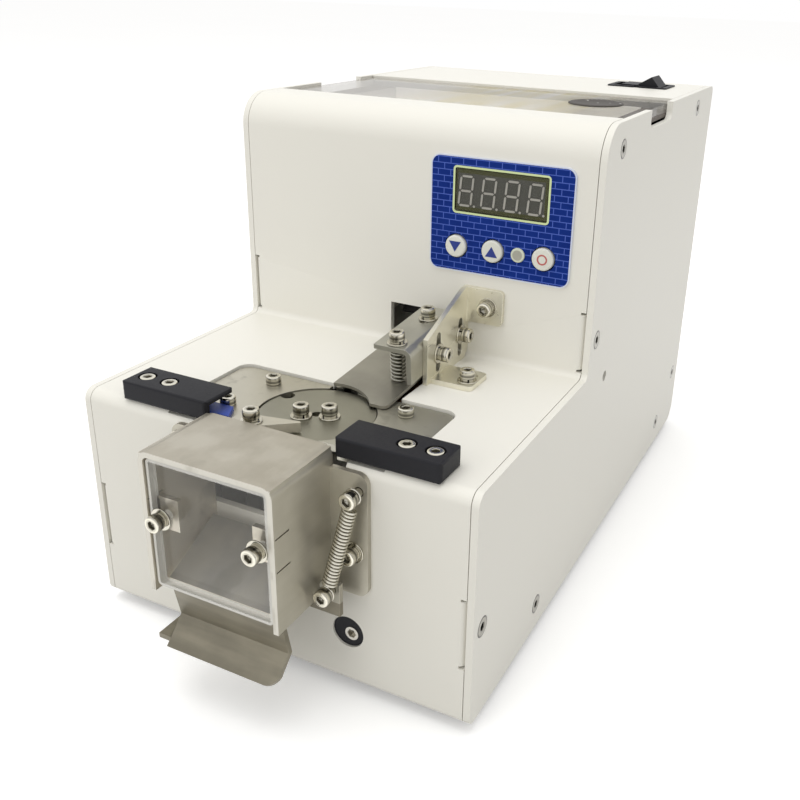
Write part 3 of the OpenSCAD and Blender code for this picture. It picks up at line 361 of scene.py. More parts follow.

# %% [markdown]
# ## The catch box
# The box is bent from one stainless sheet. Its top is blotched and its outer walls carry brush lines from
# front to back. Its tones are partly painted light: the top and the upright walls get different tones by the
# way they face, as painted reflections, the inner walls are painted brighter against the shade inside the
# box, and the sawn front rim gets a painted highlight. Each face could be a piece with a finish of its own,
# but it is one sheet, so one finish does all of it: it knows which way a face looks and where it is. The trap
# door is the same sheet, with a rubbed tab below the box whose dark tone is a painted dark reflection.

# %% Box sheet
BOX_HALF, RIM_DEEP, BOX_FOOT = 19.0, 0.8, 0.4
RIM_Y = front_of("catch_box") + RIM_DEEP
TAB_Z = corners_of("catch_box")[0].z + BOX_FOOT
BOX_TOP, DOOR_FLAT = (0.40, 0.365, 0.295), (0.41, 0.40, 0.375)
OUTER_WALL, DOOR_WALL, INNER_WALL_PAINTED_LIGHT = (0.46, 0.435, 0.36), (0.40, 0.38, 0.31), (0.68, 0.63, 0.53)
SAWN_RIM_HIGHLIGHT, DOOR_TAB_DARK_REFLECTION = (0.58, 0.56, 0.50), (0.225, 0.205, 0.155)
WORN, PALE_BLOTCH, DARK_BLOTCH = (0.66, 0.63, 0.54), (0.62, 0.59, 0.51), (0.24, 0.22, 0.17)


def box_sheet(name, level, upright, tab):
    f = Finish(name)
    x, y, z = f.spot()
    _, facing_y, facing_z = f.split(f.facing)
    line = f.grain(4200, (1, 0.015, 1), detail=2.0)
    cloud = f.grain(110, detail=6.0)
    inside = abs(x - FEED_X) < BOX_HALF
    flat = abs(facing_z).ramp(0.3, 0.8)
    flat_or_inside = flat.math("MAXIMUM", inside)
    broad = f.grain(420, (1, 0.03, 1)) * (1 - flat_or_inside * 0.7) + flat_or_inside * 0.35
    # painted reflection: up-facing and upright faces get different tones by the way they face
    metal = f.mix(flat_or_inside, upright, level)
    # painted light: the inner walls are painted brighter against the shade inside the box
    metal = f.mix(inside * (1 - flat), metal, INNER_WALL_PAINTED_LIGHT)
    # painted highlight on the front-facing sawn rim
    metal = f.mix((y < RIM_Y) * (facing_y < -0.5), metal, SAWN_RIM_HIGHLIGHT)
    wear = cloud * 0.7 + broad * 0.25 + line * 0.15
    metal = f.mix(wear.ramp(0.40, 0.75) * 0.3, metal, WORN)
    blotch = f.grain(85, (1, 0.7, 1), detail=7.0)
    metal = f.mix(flat_or_inside * blotch.ramp(0.50, 0.66) * 0.35, metal, PALE_BLOTCH)
    metal = f.mix(flat_or_inside * (1 - blotch.ramp(0.36, 0.47)) * 0.30, metal, DARK_BLOTCH)
    rubbed = (f.grain(260, (0.12, 1, 1), detail=5.0) * 0.6 + cloud * 0.4).ramp(0.3, 0.72)
    # painted dark reflection: the tab below TAB_Z gets a dark tone, varied by rubbing
    metal = f.mix(z < TAB_Z, metal, f.mix(rubbed, shade(tab, 0.82), shade(tab, 1.3)))
    return f.set(Base_Color=metal, Metallic=0.65, Roughness=cloud * 0.26 + line * 0.08 + 0.20,
                 Normal=f.bump(line * 0.2 + cloud * 0.8, 0.02, 0.2))


BY_NODE["catch_box"] = box_sheet("box_sheet", level=BOX_TOP, upright=OUTER_WALL, tab=OUTER_WALL)
BY_NODE["trap_door"] = box_sheet("door_sheet", level=DOOR_FLAT, upright=DOOR_WALL, tab=DOOR_TAB_DARK_REFLECTION)
print("box sheet ready")

# %% [markdown]
# ## The turned disc and the ground table
# The turntable is faced on a lathe, which leaves fine rings round its middle. A wave texture would repeat too
# neatly, so a noise runs along the radius. The table is ground from side to side and has taken years of
# screws: a fairly even pale metal with darker stains, a little paler to the left as a painted reflection.

# %% Disc and table
DISC = middle_of("turntable_disc")
DISC_DARK, DISC_PALE = (0.27, 0.26, 0.21), (0.42, 0.41, 0.34)
TABLE_LEFT, TABLE_RIGHT, TABLE_REFLECTION_FADE = (0.57, 0.54, 0.45), (0.54, 0.525, 0.45), (-18, 26)
TABLE_STAIN, TABLE_CLOUD = (0.20, 0.18, 0.14), (0.50, 0.48, 0.41)


def turned_disc():
    f = Finish("turned_disc")
    x, y, _ = f.spot()
    x, y = x - DISC.x, y - DISC.y
    radius = (x * x + y * y).math("SQRT")
    rings = f.add("ShaderNodeTexNoise", {"noise_dimensions": "1D"}, W=radius, Scale=9.0, Detail=3.0,
                  output="Fac")
    cloud = f.grain(120, detail=5.0)
    metal = f.mix(rings * 0.5 + cloud * 0.5, DISC_DARK, DISC_PALE)
    return f.set(Base_Color=metal, Metallic=1.0, Roughness=rings * 0.16 + 0.26,
                 Normal=f.bump(rings, 0.02, 0.3))


def ground_table():
    f = Finish("ground_table")
    x = f.spot()[0]
    line = f.grain(3800, (0.02, 1, 1), detail=2.0)
    cloud = f.grain(75, detail=6.0)
    stain = f.grain(190, detail=4.0).ramp(0.56, 0.70)
    # painted reflection: the table fades from a paler left to the right
    metal = f.mix((x + cloud * 12).ramp(*TABLE_REFLECTION_FADE), TABLE_LEFT, TABLE_RIGHT)
    metal = f.mix(stain * 0.35, metal, TABLE_STAIN)
    metal = f.mix(cloud.ramp(0.3, 0.7) * 0.3, metal, TABLE_CLOUD)
    return f.set(Base_Color=metal, Metallic=1.0, Roughness=cloud * 0.2 + line * 0.1 + 0.22,
                 Normal=f.bump(line, 0.01, 0.5))


BY_NODE["turntable_disc"] = turned_disc()
BY_NODE["table_plate"] = ground_table()
print("finishes by node:", sorted(BY_NODE))

# %% [markdown]
# ## Plastics and boards
# The sensor blocks are milled from black plastic with a fine matt grain. The buttons are glossy and
# cream, and the hidden boards carry a green mask. They differ only in tone, gloss and grain, so one
# recipe covers them: a grain for the bump, a cloud for the tone.


# %% Plastics
def moulded(name, tone, rough, grit=0.3, scale=1800, gloss=0.5):
    f = Finish(name)
    grains = f.grain(scale)
    cloud = f.grain(90)
    colour = f.mix(cloud, shade(tone, 0.85), shade(tone, 1.2))
    return f.set(Base_Color=colour, Roughness=grains * 0.16 + (rough - 0.08), Specular_IOR_Level=gloss,
                 Normal=f.bump(grains, 0.03, grit))


FINISHES["black_plastic"] = moulded("black_plastic", (0.014, 0.014, 0.017), 0.50, gloss=0.2)
FINISHES["blue_plastic"] = moulded("blue_plastic", (0.03, 0.07, 0.38), 0.45)
FINISHES["black_rubber"] = moulded("black_rubber", (0.03, 0.03, 0.03), 0.75, grit=0.6)
FINISHES["button_white"] = moulded("button_cream", (0.70, 0.70, 0.63), 0.32, grit=0.1)
FINISHES["circuit_board"] = moulded("solder_mask", (0.03, 0.16, 0.07), 0.40, grit=0.2)
FINISHES["bristle"] = moulded("bristle", (0.035, 0.032, 0.030), 0.80, grit=1.0, scale=900)
print("slots with a finish:", len(FINISHES))

# %% [markdown]
# ## Clear acrylic
# The lid and the box's window are clear: almost nothing shows but reflections, which grow at a flat angle.
# Glass that bends light needs many samples and doesn't survive the export where it varies. So the clear
# finish is a mirror that is nearly transparent, and its opacity grows with the slant. Sawn edges scatter the
# light, and the window gets a painted highlight in a band just inside its border. On the lid a pale film of
# dust and painted sheen grows with the slant and ends towards the right, with yellowish patches in it.


# %% Clear pieces
def rounded_distance(x, z, half_w, half_h, r):
    """How far a place is outside a rounded rectangle; inside it is less than zero."""
    qx, qz = abs(x) - (half_w - r), abs(z) - (half_h - r)
    ox, oz = qx.math("MAXIMUM", 0), qz.math("MAXIMUM", 0)
    return (ox * ox + oz * oz).math("SQRT") + qx.math("MAXIMUM", qz).math("MINIMUM", 0) - r


DUST_AND_SHEEN, YELLOW_PATCH = (0.68, 0.65, 0.59), (0.58, 0.49, 0.20)
DUST_AND_SHEEN_ENDS, YELLOW_PATCH_STARTS = (20, 50), (-25, -5)
PANE, PANE_HALF = middle_of("box_window"), half_of("box_window")
PANE_CORNER, PANE_HIGHLIGHT_BAND = 1.4, (-1.1, -0.6)


def clear(name, tone, mirror, edge_tone, edge_alpha, face, rim=None, film=0.0):
    """Acrylic that faces along an axis; rim adds a painted highlight band, film is the dust and painted sheen
    on it.
    """
    f = Finish(name)
    x, _, z = f.spot()
    slant = f.add("ShaderNodeLayerWeight", {}, Blend=0.5, output="Facing")
    smear = f.grain(45, detail=4.0)
    sawn_edge_and_highlight = 1 - abs(f.split(f.facing)["xyz".index(face)]).ramp(0.5, 0.9)
    if rim:
        sawn_edge_and_highlight = sawn_edge_and_highlight.math("MAXIMUM", rim(x, z))
    # dust and painted sheen: a pale film that grows with the slant and ends towards the right; yellowish
    # patches start further left
    dust = slant.math("POWER", 3) * (1 - x.ramp(*DUST_AND_SHEEN_ENDS)) * film
    dust_and_sheen_share = dust.ramp(0, 0.12)
    yellowish = f.grain(48, (2.4, 0.2, 1), detail=3.0).ramp(0.40, 0.54) * x.ramp(*YELLOW_PATCH_STARTS)
    pane = f.mix(dust_and_sheen_share, tone, f.mix(yellowish, DUST_AND_SHEEN, YELLOW_PATCH))
    gloss = slant.math("POWER", 4) * mirror + 0.03
    alpha = gloss.math("MAXIMUM", sawn_edge_and_highlight * edge_alpha).math("MAXIMUM", dust)
    f.material.surface_render_method = "BLENDED"
    return f.set(Base_Color=f.mix(sawn_edge_and_highlight, pane, edge_tone), Alpha=alpha, Roughness=smear * 0.05 + 0.03,
                 Metallic=1 - sawn_edge_and_highlight.math("MAXIMUM", dust_and_sheen_share) * 0.95)


# painted highlight: a bright band just inside the window's border
def window_border_highlight(x, z):
    edge = rounded_distance(x - PANE.x, z - PANE.z, PANE_HALF.x, PANE_HALF.z, PANE_CORNER)
    return edge.ramp(*PANE_HIGHLIGHT_BAND)


FINISHES["clear_acrylic"] = clear("window_acrylic", (0.80, 0.79, 0.75), mirror=0.5,
                                  edge_tone=(0.72, 0.71, 0.66), edge_alpha=0.8, face="y", rim=window_border_highlight)
BY_NODE["hopper_lid"] = clear("lid_acrylic", (0.62, 0.60, 0.56), mirror=0.10,
                              edge_tone=(0.50, 0.48, 0.45), edge_alpha=0.5, face="z", film=0.72)
print("clear pieces ready")

# %% [markdown]
# ## The hopper tray
# The tray under the lid is pale inside, and the ledges at its sides, which the lid lies on, are painted dark
# as the shade that falls on them. The ledges could be painted by hand, but their place is enough to tell them
# apart.

# %% Hopper tray
LEDGE_X, LEDGE_Z = 48.6, 133
TRAY_TONES = ((0.80, 0.775, 0.72), (0.90, 0.875, 0.81))
LEDGE_SHADE_TONES = ((0.10, 0.085, 0.073), (0.15, 0.13, 0.112))


def tray_coat():
    f = Finish("tray_coat")
    x, _, z = f.spot()
    cloud = f.grain(40, detail=5.0)
    ledge = (abs(x) > LEDGE_X) * (z > LEDGE_Z)
    # painted shade: the ledges are painted dark
    coat = f.mix(ledge, f.mix(cloud, *TRAY_TONES), f.mix(cloud, *LEDGE_SHADE_TONES))
    return f.set(Base_Color=coat, Roughness=cloud * 0.15 + 0.40, Specular_IOR_Level=0.15)


FINISHES["hopper_beige"] = tray_coat()
print("tray coat ready")

# %% [markdown]
# ## The printed label
# The label is a royal blue film with a pattern of pale brick joints, a thin pale rim and a pale yellow frame
# round the digits, and inside the frame a thin dark band of painted shade, where the window's recess falls
# dark. It could be a picture, but a picture blurs when the camera comes close. So all
# of it is worked out from the place on the label: a rounded rectangle's distance gives the rim and the
# frame, and remainders give the bricks, with every second row moved by half a brick.

# %% Label
LABEL, LABEL_HALF = middle_of("display_panel"), half_of("display_panel")
VIEW, VIEW_HALF = middle_of("display_window"), half_of("display_window")
LABEL_CORNER, LABEL_RIM = 3.0, 0.36
FRAME_OUT, FRAME_CORNER, FRAME_WIDE = 0.8, 1.2, 0.62
BRICK_L, BRICK_H, JOINT = 4.1, 1.86, 0.26
ROYAL_BLUE, JOINT_BLUE = ((0.004, 0.019, 0.160), (0.009, 0.035, 0.240)), (0.11, 0.18, 0.62)
PALE_RIM, YELLOW_FRAME, RECESS_SHADE = (0.66, 0.70, 0.82), (0.66, 0.76, 0.42), (0.05, 0.05, 0.015)


def label_film():
    f = Finish("label_film")
    x, _, z = f.spot()
    x, z = x - LABEL.x, z - LABEL.z
    row = (z / BRICK_H).math("FLOOR")
    shift = row.math("FLOORED_MODULO", 2) * (BRICK_L / 2)
    upright = (x + shift).math("FLOORED_MODULO", BRICK_L) < JOINT
    level = z.math("FLOORED_MODULO", BRICK_H) < JOINT
    patch = f.grain(160)
    film = f.mix(patch, *ROYAL_BLUE)
    film = f.mix(upright.math("MAXIMUM", level) * 0.7, film, JOINT_BLUE)
    edge = rounded_distance(x, z, LABEL_HALF.x, LABEL_HALF.z, LABEL_CORNER)
    film = f.mix(edge > -LABEL_RIM, film, PALE_RIM)
    window = rounded_distance(x, z - (VIEW.z - LABEL.z), VIEW_HALF.x + FRAME_OUT, VIEW_HALF.z + FRAME_OUT,
                              FRAME_CORNER)
    film = f.mix(window < 0, film, YELLOW_FRAME)
    # painted shade: a dark band inside the yellow frame, for the recess
    film = f.mix(window < -FRAME_WIDE, film, RECESS_SHADE)
    return f.set(Base_Color=film, Roughness=patch * 0.06 + 0.36, Specular_IOR_Level=0.06)


FINISHES["blue_label"] = label_film()
print("label film ready")

# %% [markdown]
# ## Behind the display window
# The digits are potted in a smoked filter, on a grey face whose olive border is painted shade, where the
# recess falls dark. The filter is thin, and light has to pass it twice, so it is mostly transparent and only
# darkens a little. The indicator beside the keys is a milky ring round a grey lens.

# %% Display finishes
FIELD_X, FIELD_HALF_W, FIELD_HALF_H = LABEL.x - 0.2, 13.8, 4.95
FACE_GREY, OLIVE_RECESS_SHADE = ((0.062, 0.062, 0.052), (0.082, 0.081, 0.068)), (0.055, 0.056, 0.012)
LENS, LENS_RING = middle_of("indicator_lens"), (1.35, 1.75)
LENS_GREY, MILKY = ((0.33, 0.33, 0.27), (0.42, 0.41, 0.35)), (0.64, 0.68, 0.54)
SMOKE = (0.03, 0.03, 0.018)


def smoked_filter():
    f = Finish("smoked_filter")
    dust = f.grain(300)
    f.material.surface_render_method = "BLENDED"
    return f.set(Base_Color=SMOKE, Roughness=dust * 0.1 + 0.22, Alpha=dust * 0.04 + 0.10,
                 Specular_IOR_Level=0.25)


def digit_face():
    f = Finish("digit_face")
    x, _, z = f.spot()
    dust = f.grain(700)
    # painted shade: an olive border round the face, for the recess
    recess_shade_band = rounded_distance(x - FIELD_X, z - VIEW.z, FIELD_HALF_W, FIELD_HALF_H, 0.2).ramp(-0.15, 0.15)
    grey = f.mix(dust, *FACE_GREY)
    return f.set(Base_Color=f.mix(recess_shade_band, grey, OLIVE_RECESS_SHADE), Roughness=dust * 0.1 + 0.45)


def indicator():
    f = Finish("indicator_lens")
    x, _, z = f.spot()
    x, z = x - LENS.x, z - LENS.z
    rim = (x * x + z * z).math("SQRT").ramp(*LENS_RING)
    dust = f.grain(600)
    lens = f.mix(dust, *LENS_GREY)
    return f.set(Base_Color=f.mix(rim, lens, MILKY), Roughness=dust * 0.1 + 0.26)


FINISHES["smoke_window"] = smoked_filter()
BY_NODE["digit_module"] = moulded("digit_case", (0.05, 0.05, 0.05), 0.5)
BY_NODE["indicator_lens"] = indicator()
print("finishes:", len(FINISHES), "by slot and", len(BY_NODE), "by node")

# %% [markdown]
# ## Every solid gets its finish
# The record names a material slot for each solid. Some solids have a finish of their own, and the slot's
# finish dresses the rest.

# %% Dress the solids
slot_of = {s["node"]: s["material_slot"] for s in frame["record"]["subparts"]}


def finish_of(node):
    return BY_NODE.get(node) or FINISHES[slot_of[node]]


def dress(piece, finish):
    piece.data.materials.clear()
    piece.data.materials.append(finish)
    return piece


for node, piece in frame["nodes"].items():
    dress(piece, finish_of(node))
print("dressed", len(slot_of), "solids")

# %% [markdown]
# ## New pieces
# A piece that this lesson makes has to say what it moves with. Some stand for a solid, which is then hidden,
# and some are only added to one. A few helpers do this the same way each time, and shade every mesh smooth
# except where it turns sharply.

# %% Piece helpers
SHARP = math.radians(35)


def new_piece(name, mesh):
    piece = bpy.data.objects.new(name, mesh)
    scene.collection.objects.link(piece)
    return piece


def body_of(node):
    return frame["nodes"][node]["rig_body"]


def stand_for(piece, *nodes):
    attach(piece, body_of(nodes[0]))
    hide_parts(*nodes)


def add_to(piece, node):
    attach(piece, body_of(node))


def settle(piece):
    """The evaluated shape as a plain mesh, with no modifier left."""
    bpy.context.view_layer.update()
    shape = bpy.data.meshes.new_from_object(piece.evaluated_get(bpy.context.evaluated_depsgraph_get()))
    piece.modifiers.clear()
    piece.data = shape
    return piece


def smooth_by_angle(bm):
    for face in bm.faces:
        face.smooth = True
    for edge in bm.edges:
        edge.smooth = len(edge.link_faces) == 2 and edge.calc_face_angle(0) < SHARP


print("piece helpers ready")

# %% [markdown]
# ## Softened edges
# No real edge is perfectly sharp: a coat or a mould rounds it, and light catches it. A shader can fake
# the shine, but a real bevel also rounds the outline. So each piece whose edges show is copied, its loose
# triangles are merged into faces, and a narrow bevel goes on the edges that turn by more than 35 degrees.
# The copy then stands for the solid.

# %% Soften
WELD, LEVEL = 2e-6, math.radians(0.6)
SOFT_EDGES = {
    "right_side_plate": 0.25, "left_side_plate": 0.25, "front_cover": 0.25, "rear_cover": 0.25,
    "catch_box": 0.25, "trap_door": 0.3, "guide_plate": 0.12, "guide_hanger": 0.15, "guide_bracket": 0.15,
    "table_plate": 0.15, "turntable_disc": 0.2, "deflector_arm": 0.2, "sensor_block_left": 0.3,
    "sensor_block_right": 0.3, "hopper_lid": 0.2, "box_window": 0.2, "switch_housing": 0.2,
    "switch_rocker": 0.35, "button_down": 0.6, "button_up": 0.6, "button_set": 0.6, "indicator_lens": 0.3,
    "adjust_screw": 0.15,
}


def softened(node, width):
    mesh = frame["nodes"][node].data.copy()
    bm = bmesh.new()
    bm.from_mesh(mesh)
    bmesh.ops.remove_doubles(bm, verts=bm.verts, dist=WELD)
    bmesh.ops.dissolve_limit(bm, angle_limit=LEVEL, verts=bm.verts, edges=bm.edges)
    smooth_by_angle(bm)
    bm.to_mesh(mesh)
    bm.free()
    piece = new_piece(node + "_soft", mesh)
    bevel = piece.modifiers.new("edges", "BEVEL")
    bevel.width = width * MM
    bevel.segments = 2
    bevel.limit_method = "ANGLE"
    bevel.angle_limit = SHARP
    bevel.harden_normals = True
    dress(settle(piece), finish_of(node))
    stand_for(piece, node)
    return len(piece.data.polygons)


soft_faces = [softened(node, width) for node, width in SOFT_EDGES.items()]
print("softened:", len(soft_faces), "pieces,", sum(soft_faces), "faces")

# %% [markdown]
# ## Screw heads as turned shapes
# A socket screw is turned, with a rounded rim, and its hexagon is pressed in. It could be cut from a
# cylinder, but a cut leaves a ragged mesh. So rings of points are joined: each has a radius, a height and a
# painted brightness, which paints highlights on the rims, bright and dark reflection bands on the sides, and
# shade in the sockets. A ring can follow a hexagon instead of a circle, so the socket is part of the same
# shape.


# %% Turned shapes
def mesh_piece(name, bm):
    bmesh.ops.recalc_face_normals(bm, faces=bm.faces)
    smooth_by_angle(bm)
    mesh = bpy.data.meshes.new(name)
    bm.to_mesh(mesh)
    bm.free()
    return new_piece(name, mesh)


def round_point(r, a, z):
    return Vector((r * math.cos(a), r * math.sin(a), z)) * MM


def hexagon_radius(corner, a):
    return corner * math.cos(math.pi / 6) / math.cos(a % (math.pi / 3) - math.pi / 6)


def turned(name, steps, sides=36):
    """A closed shape from rings (radius, height, painted shine) in mm; a negative radius is a hexagon's
    corner.
    """
    bm = bmesh.new()
    shine = bm.verts.layers.float.new("shine")
    rings = []
    for radius, height, bright in steps:
        rings.append([])
        for i in range(sides):
            a = math.tau * i / sides
            r = radius if radius > 0 else hexagon_radius(-radius, a)
            vert = bm.verts.new(round_point(r, a, height))
            vert[shine] = bright
            rings[-1].append(vert)
    for low, high in zip(rings, rings[1:]):
        for i in range(sides):
            j = (i + 1) % sides
            bm.faces.new((low[i], low[j], high[j], high[i]))
    bm.faces.new(rings[0][::-1])
    bm.faces.new(rings[-1])
    return mesh_piece(name, bm)


print("turning helpers ready")

# %% [markdown]
# ## Heads, washer and shank
# Most screws have a cap head, 4.5 mm across, and the side plates have flat ones that lie in countersunk
# holes. The shank is a metre long here, so that a seat can scale it to the length it shows.

# %% Screw shapes
HEAD_R, HEAD_HIGH = 2.25, 2.5
# the third number of each ring is painted shine: highlights on the rims, reflection bands on the sides, shade
# in the socket
cap_head = turned("cap_head", [
    (2.10, 0.0, 0.2), (HEAD_R, 0.12, 0.4), (HEAD_R, 0.45, 0.8), (HEAD_R, 0.8, 0.2), (HEAD_R, 1.2, 0.3),
    (HEAD_R, 1.6, 0.85), (HEAD_R, 1.95, 0.8), (2.18, 2.25, 0.45), (2.05, 2.42, 1.0), (1.8, HEAD_HIGH, 1.0),
    (1.5, HEAD_HIGH, 0.75), (-1.3, HEAD_HIGH, 0.6), (-1.17, 2.32, 0.5), (-1.15, 1.5, 0.35), (0.5, 1.3, 0.4)])
# painted shade: a dark ring at the rim stands for the countersink's shade
flat_head = turned("flat_head", [
    (1.2, -1.6, 0.2), (2.8, -0.14, 0.0), (2.86, -0.06, 0.0), (2.6, -0.02, 0.1), (2.3, -0.02, 0.36),
    (1.6, -0.02, 0.34), (-1.28, -0.04, 0.15), (-1.12, -0.2, 0.2), (-1.1, -1.0, 0.1), (0.5, -1.2, 0.1)])
flat_washer = turned("flat_washer", [(2.9, 0.0, 0.4), (3.0, 0.1, 0.55), (3.0, 0.4, 0.75), (2.9, 0.5, 0.8)])
shank = turned("shank", [(1.22, -1000, 0.45), (1.22, 0, 0.45)], sides=24)
print("screw shapes:", [len(o.data.polygons) for o in (cap_head, flat_head, flat_washer, shank)], "faces")

# %% [markdown]
# ## The lock washer
# Under most cap heads sits a spring washer: a ring of nearly square wire, cut through and twisted, so
# that its ends stand apart. It can't be turned, because its ends differ in height, so its section is
# swept round point by point.


# %% Spring washer
def split_washer(inner, outer, low, high, gap, rise, sides=32):
    bm = bmesh.new()
    shine = bm.verts.layers.float.new("shine")
    sections = []
    for i in range(sides + 1):
        a = math.radians(gap / 2 + (360 - gap) * i / sides)
        lift = rise * i / sides
        sections.append([])
        for r, z in ((inner, low), (outer, low), (outer, high), (inner, high)):
            vert = bm.verts.new(round_point(r, a, z + lift))
            vert[shine] = 0.6
            sections[-1].append(vert)
    for first, second in zip(sections, sections[1:]):
        for i in range(4):
            j = (i + 1) % 4
            bm.faces.new((first[i], second[i], second[j], first[j]))
    bm.faces.new(sections[0])
    bm.faces.new(sections[-1][::-1])
    return mesh_piece("lock_washer", bm)


lock_washer = split_washer(inner=1.35, outer=2.1, low=0.5, high=1.1, gap=14, rise=0.1)
print("lock washer:", len(lock_washer.data.polygons), "faces")

# %% [markdown]
# ## The screws' plating
# The screws are bright plated steel, and their sockets are painted nearly black as shade. A finish that works
# from the place alone can't tell a rim from a socket, so it reads the painted highlight and shade that the
# rings carry, and a noise rubs it.

# %% Plated screws
SOCKET_SHADE, LIT_PLATING = (0.015, 0.014, 0.012), (0.80, 0.765, 0.655)


def plated_screw():
    f = Finish("plated_screw")
    bright = f.add("ShaderNodeAttribute", {"attribute_name": "shine"}, output="Fac")
    rub = f.grain(900)
    # painted highlight and shade: the rings' painted shine mixes socket shade with lit plating
    metal = f.mix(bright * (rub * 0.5 + 0.75), SOCKET_SHADE, LIT_PLATING)
    return f.set(Base_Color=metal, Metallic=1.0, Roughness=rub * 0.12 + 0.12)


SCREW_FINISH = plated_screw()
print("screw finish ready")

# %% [markdown]
# ## Repeats with Geometry Nodes
# What repeats is grown by a tree on points, because one change to the tree then reaches every copy. The
# class names a tree's inputs and ends it: the copies are made real, because the export drops instances,
# and get their finish. One function gives the points their facts, runs the tree and keeps the plain mesh.


# %% Growing
class Growth(NodeTree):
    """A Geometry Nodes tree with named inputs."""

    def __init__(self, name, **inputs):
        self.group = bpy.data.node_groups.new(name, "GeometryNodeTree")
        super().__init__(self.group)
        sockets = self.group.interface
        sockets.new_socket("Geometry", in_out="INPUT", socket_type="NodeSocketGeometry")
        self.names = {label: sockets.new_socket(label.replace("_", " "), in_out="INPUT",
                                                socket_type="NodeSocket" + kind).identifier
                      for label, kind in inputs.items()}
        sockets.new_socket("Geometry", in_out="OUTPUT", socket_type="NodeSocketGeometry")
        self.given = self.nodes.new("NodeGroupInput")

    def read(self, label):
        return Wire(self, self.given.outputs[label.replace("_", " ")])

    def mark(self, label, kind):
        return self.add("GeometryNodeInputNamedAttribute", {"data_type": kind}, label)

    def shape_of(self, label):
        return self.add("GeometryNodeObjectInfo", {}, self.read(label), output="Geometry")

    def upright_on(self, facing):
        return self.add("FunctionNodeAlignRotationToVector", {"axis": "Z"}, Vector=facing)

    def place(self, points, shape, **options):
        return self.add("GeometryNodeInstanceOnPoints", {}, Points=points, Instance=shape, **options)

    def end(self, *shapes):
        join = self.nodes.new("GeometryNodeJoinGeometry")
        for shape in shapes:
            self.links.new(shape.socket, join.inputs[0])
        solid = self.add("GeometryNodeRealizeInstances", {}, Wire(self, join.outputs[0]))
        dressed = self.add("GeometryNodeSetMaterial", {}, Geometry=solid, Material=self.read("Finish"))
        self.links.new(dressed.socket, self.nodes.new("NodeGroupOutput").inputs[0])


def grow(name, tree, points, marks, edges=(), **sizes):
    """A plain mesh that a tree has made on points, which carry marks."""
    mesh = bpy.data.meshes.new(name)
    mesh.from_pydata([tuple(p) for p in points], edges, [])
    for label, values in marks.items():
        vector = isinstance(values[0], Vector)
        layer = mesh.attributes.new(label, "FLOAT_VECTOR" if vector else "FLOAT", "POINT")
        flat = [c for v in values for c in v] if vector else values
        layer.data.foreach_set("vector" if vector else "value", flat)
    piece = new_piece(name, mesh)
    tool = piece.modifiers.new("growth", "NODES")
    tool.node_group = tree.group
    for label, value in sizes.items():
        tool[tree.names[label]] = value
    settle(piece)
    print(name + ":", len(piece.data.polygons), "faces")
    return piece


print("growth helpers ready")

# %% [markdown]
# ## One tree for every screw
# About forty screws sit on the machine, and only the place, the direction, the washers and the shank
# differ. The tree reads those facts from the points, lifts a head by the washers under it, and turns each
# screw by a seeded angle, because nobody lines up sockets when tightening them.


# %% The screw tree
def screw_tree():
    t = Growth("screws_on_points", Head="Object", Lock_washer="Object", Flat_washer="Object", Shank="Object",
               Washer_stack="Float", Seed="Int", Finish="Material")
    points = t.read("Geometry")
    facing = t.mark("facing", "FLOAT_VECTOR")
    washers, reach = t.mark("washers", "FLOAT"), t.mark("reach", "FLOAT")
    upright = t.upright_on(facing)
    angle = t.add("FunctionNodeRandomValue", {"data_type": "FLOAT"}, Min=0.0, Max=math.tau,
                  Seed=t.read("Seed"))
    spin = t.add("FunctionNodeEulerToRotation", {}, t.add("ShaderNodeCombineXYZ", {}, Z=angle))
    turned_by = t.add("FunctionNodeRotateRotation", {"rotation_space": "LOCAL"}, upright, spin)
    lift = t.add("ShaderNodeVectorMath", {"operation": "SCALE"}, facing,
                 Scale=washers * t.read("Washer_stack"))
    raised = t.add("GeometryNodeSetPosition", {}, Geometry=points, Offset=lift)
    long = t.add("ShaderNodeCombineXYZ", {}, 1.0, 1.0, reach)
    t.end(t.place(raised, t.shape_of("Head"), Rotation=turned_by),
          t.place(points, t.shape_of("Lock_washer"), Selection=washers > 0.5, Rotation=turned_by),
          t.place(points, t.shape_of("Flat_washer"), Selection=washers > 0.5, Rotation=upright),
          t.place(raised, t.shape_of("Shank"), Selection=reach > 0, Rotation=upright, Scale=long))
    return t


SCREWS = screw_tree()
print("screw tree:", len(SCREWS.group.nodes), "nodes")

# %% [markdown]
# ## Where the screws are
# Each seat has a point, the way the head looks, whether washers lie under it, and how many millimetres of
# the shank can be seen. The groups follow the bodies, so that the disc's screws turn with the disc.

# %% Seats
Seat = namedtuple("Seat", "point facing washers reach", defaults=(0, 0))
WASHER_STACK = 1.2
TABLE_TOP, DISC_TOP = top_of("table_plate"), top_of("turntable_disc")
BLOCK_Y, BLOCK_SEAT = middle_of("sensor_block_left").y, top_of("sensor_block_left") - HEAD_HIGH
PLATE_SIDE, BRACKET_SIDE = corners_of("right_side_plate")[1].x, 21.8
FLANGE_Y, WINDOW_Y, WINDOW_Z = -1.5, front_of("box_window"), middle_of("window_screws").z
GUIDE_SIDE, GUIDE_SCREWS, GUIDE_HEADS = 12.3, (8.7, 27.9), 13.72
HOOK_HIGH, HOOK_LOW = Vector((29.95, -4.1, 61.7)), Vector((25.15, -9.5, 35.1))
POST_HIGH_Y, POST_LOW_Y = -5.0, -9.95
DEFLECTOR_HOLE = (-5.4, 3.2, top_of("deflector_arm"))
EAR_HOLE, FOOT_HOLE = (28.7, 76.2, 85.9), (31.9, 55.9, 69.9)


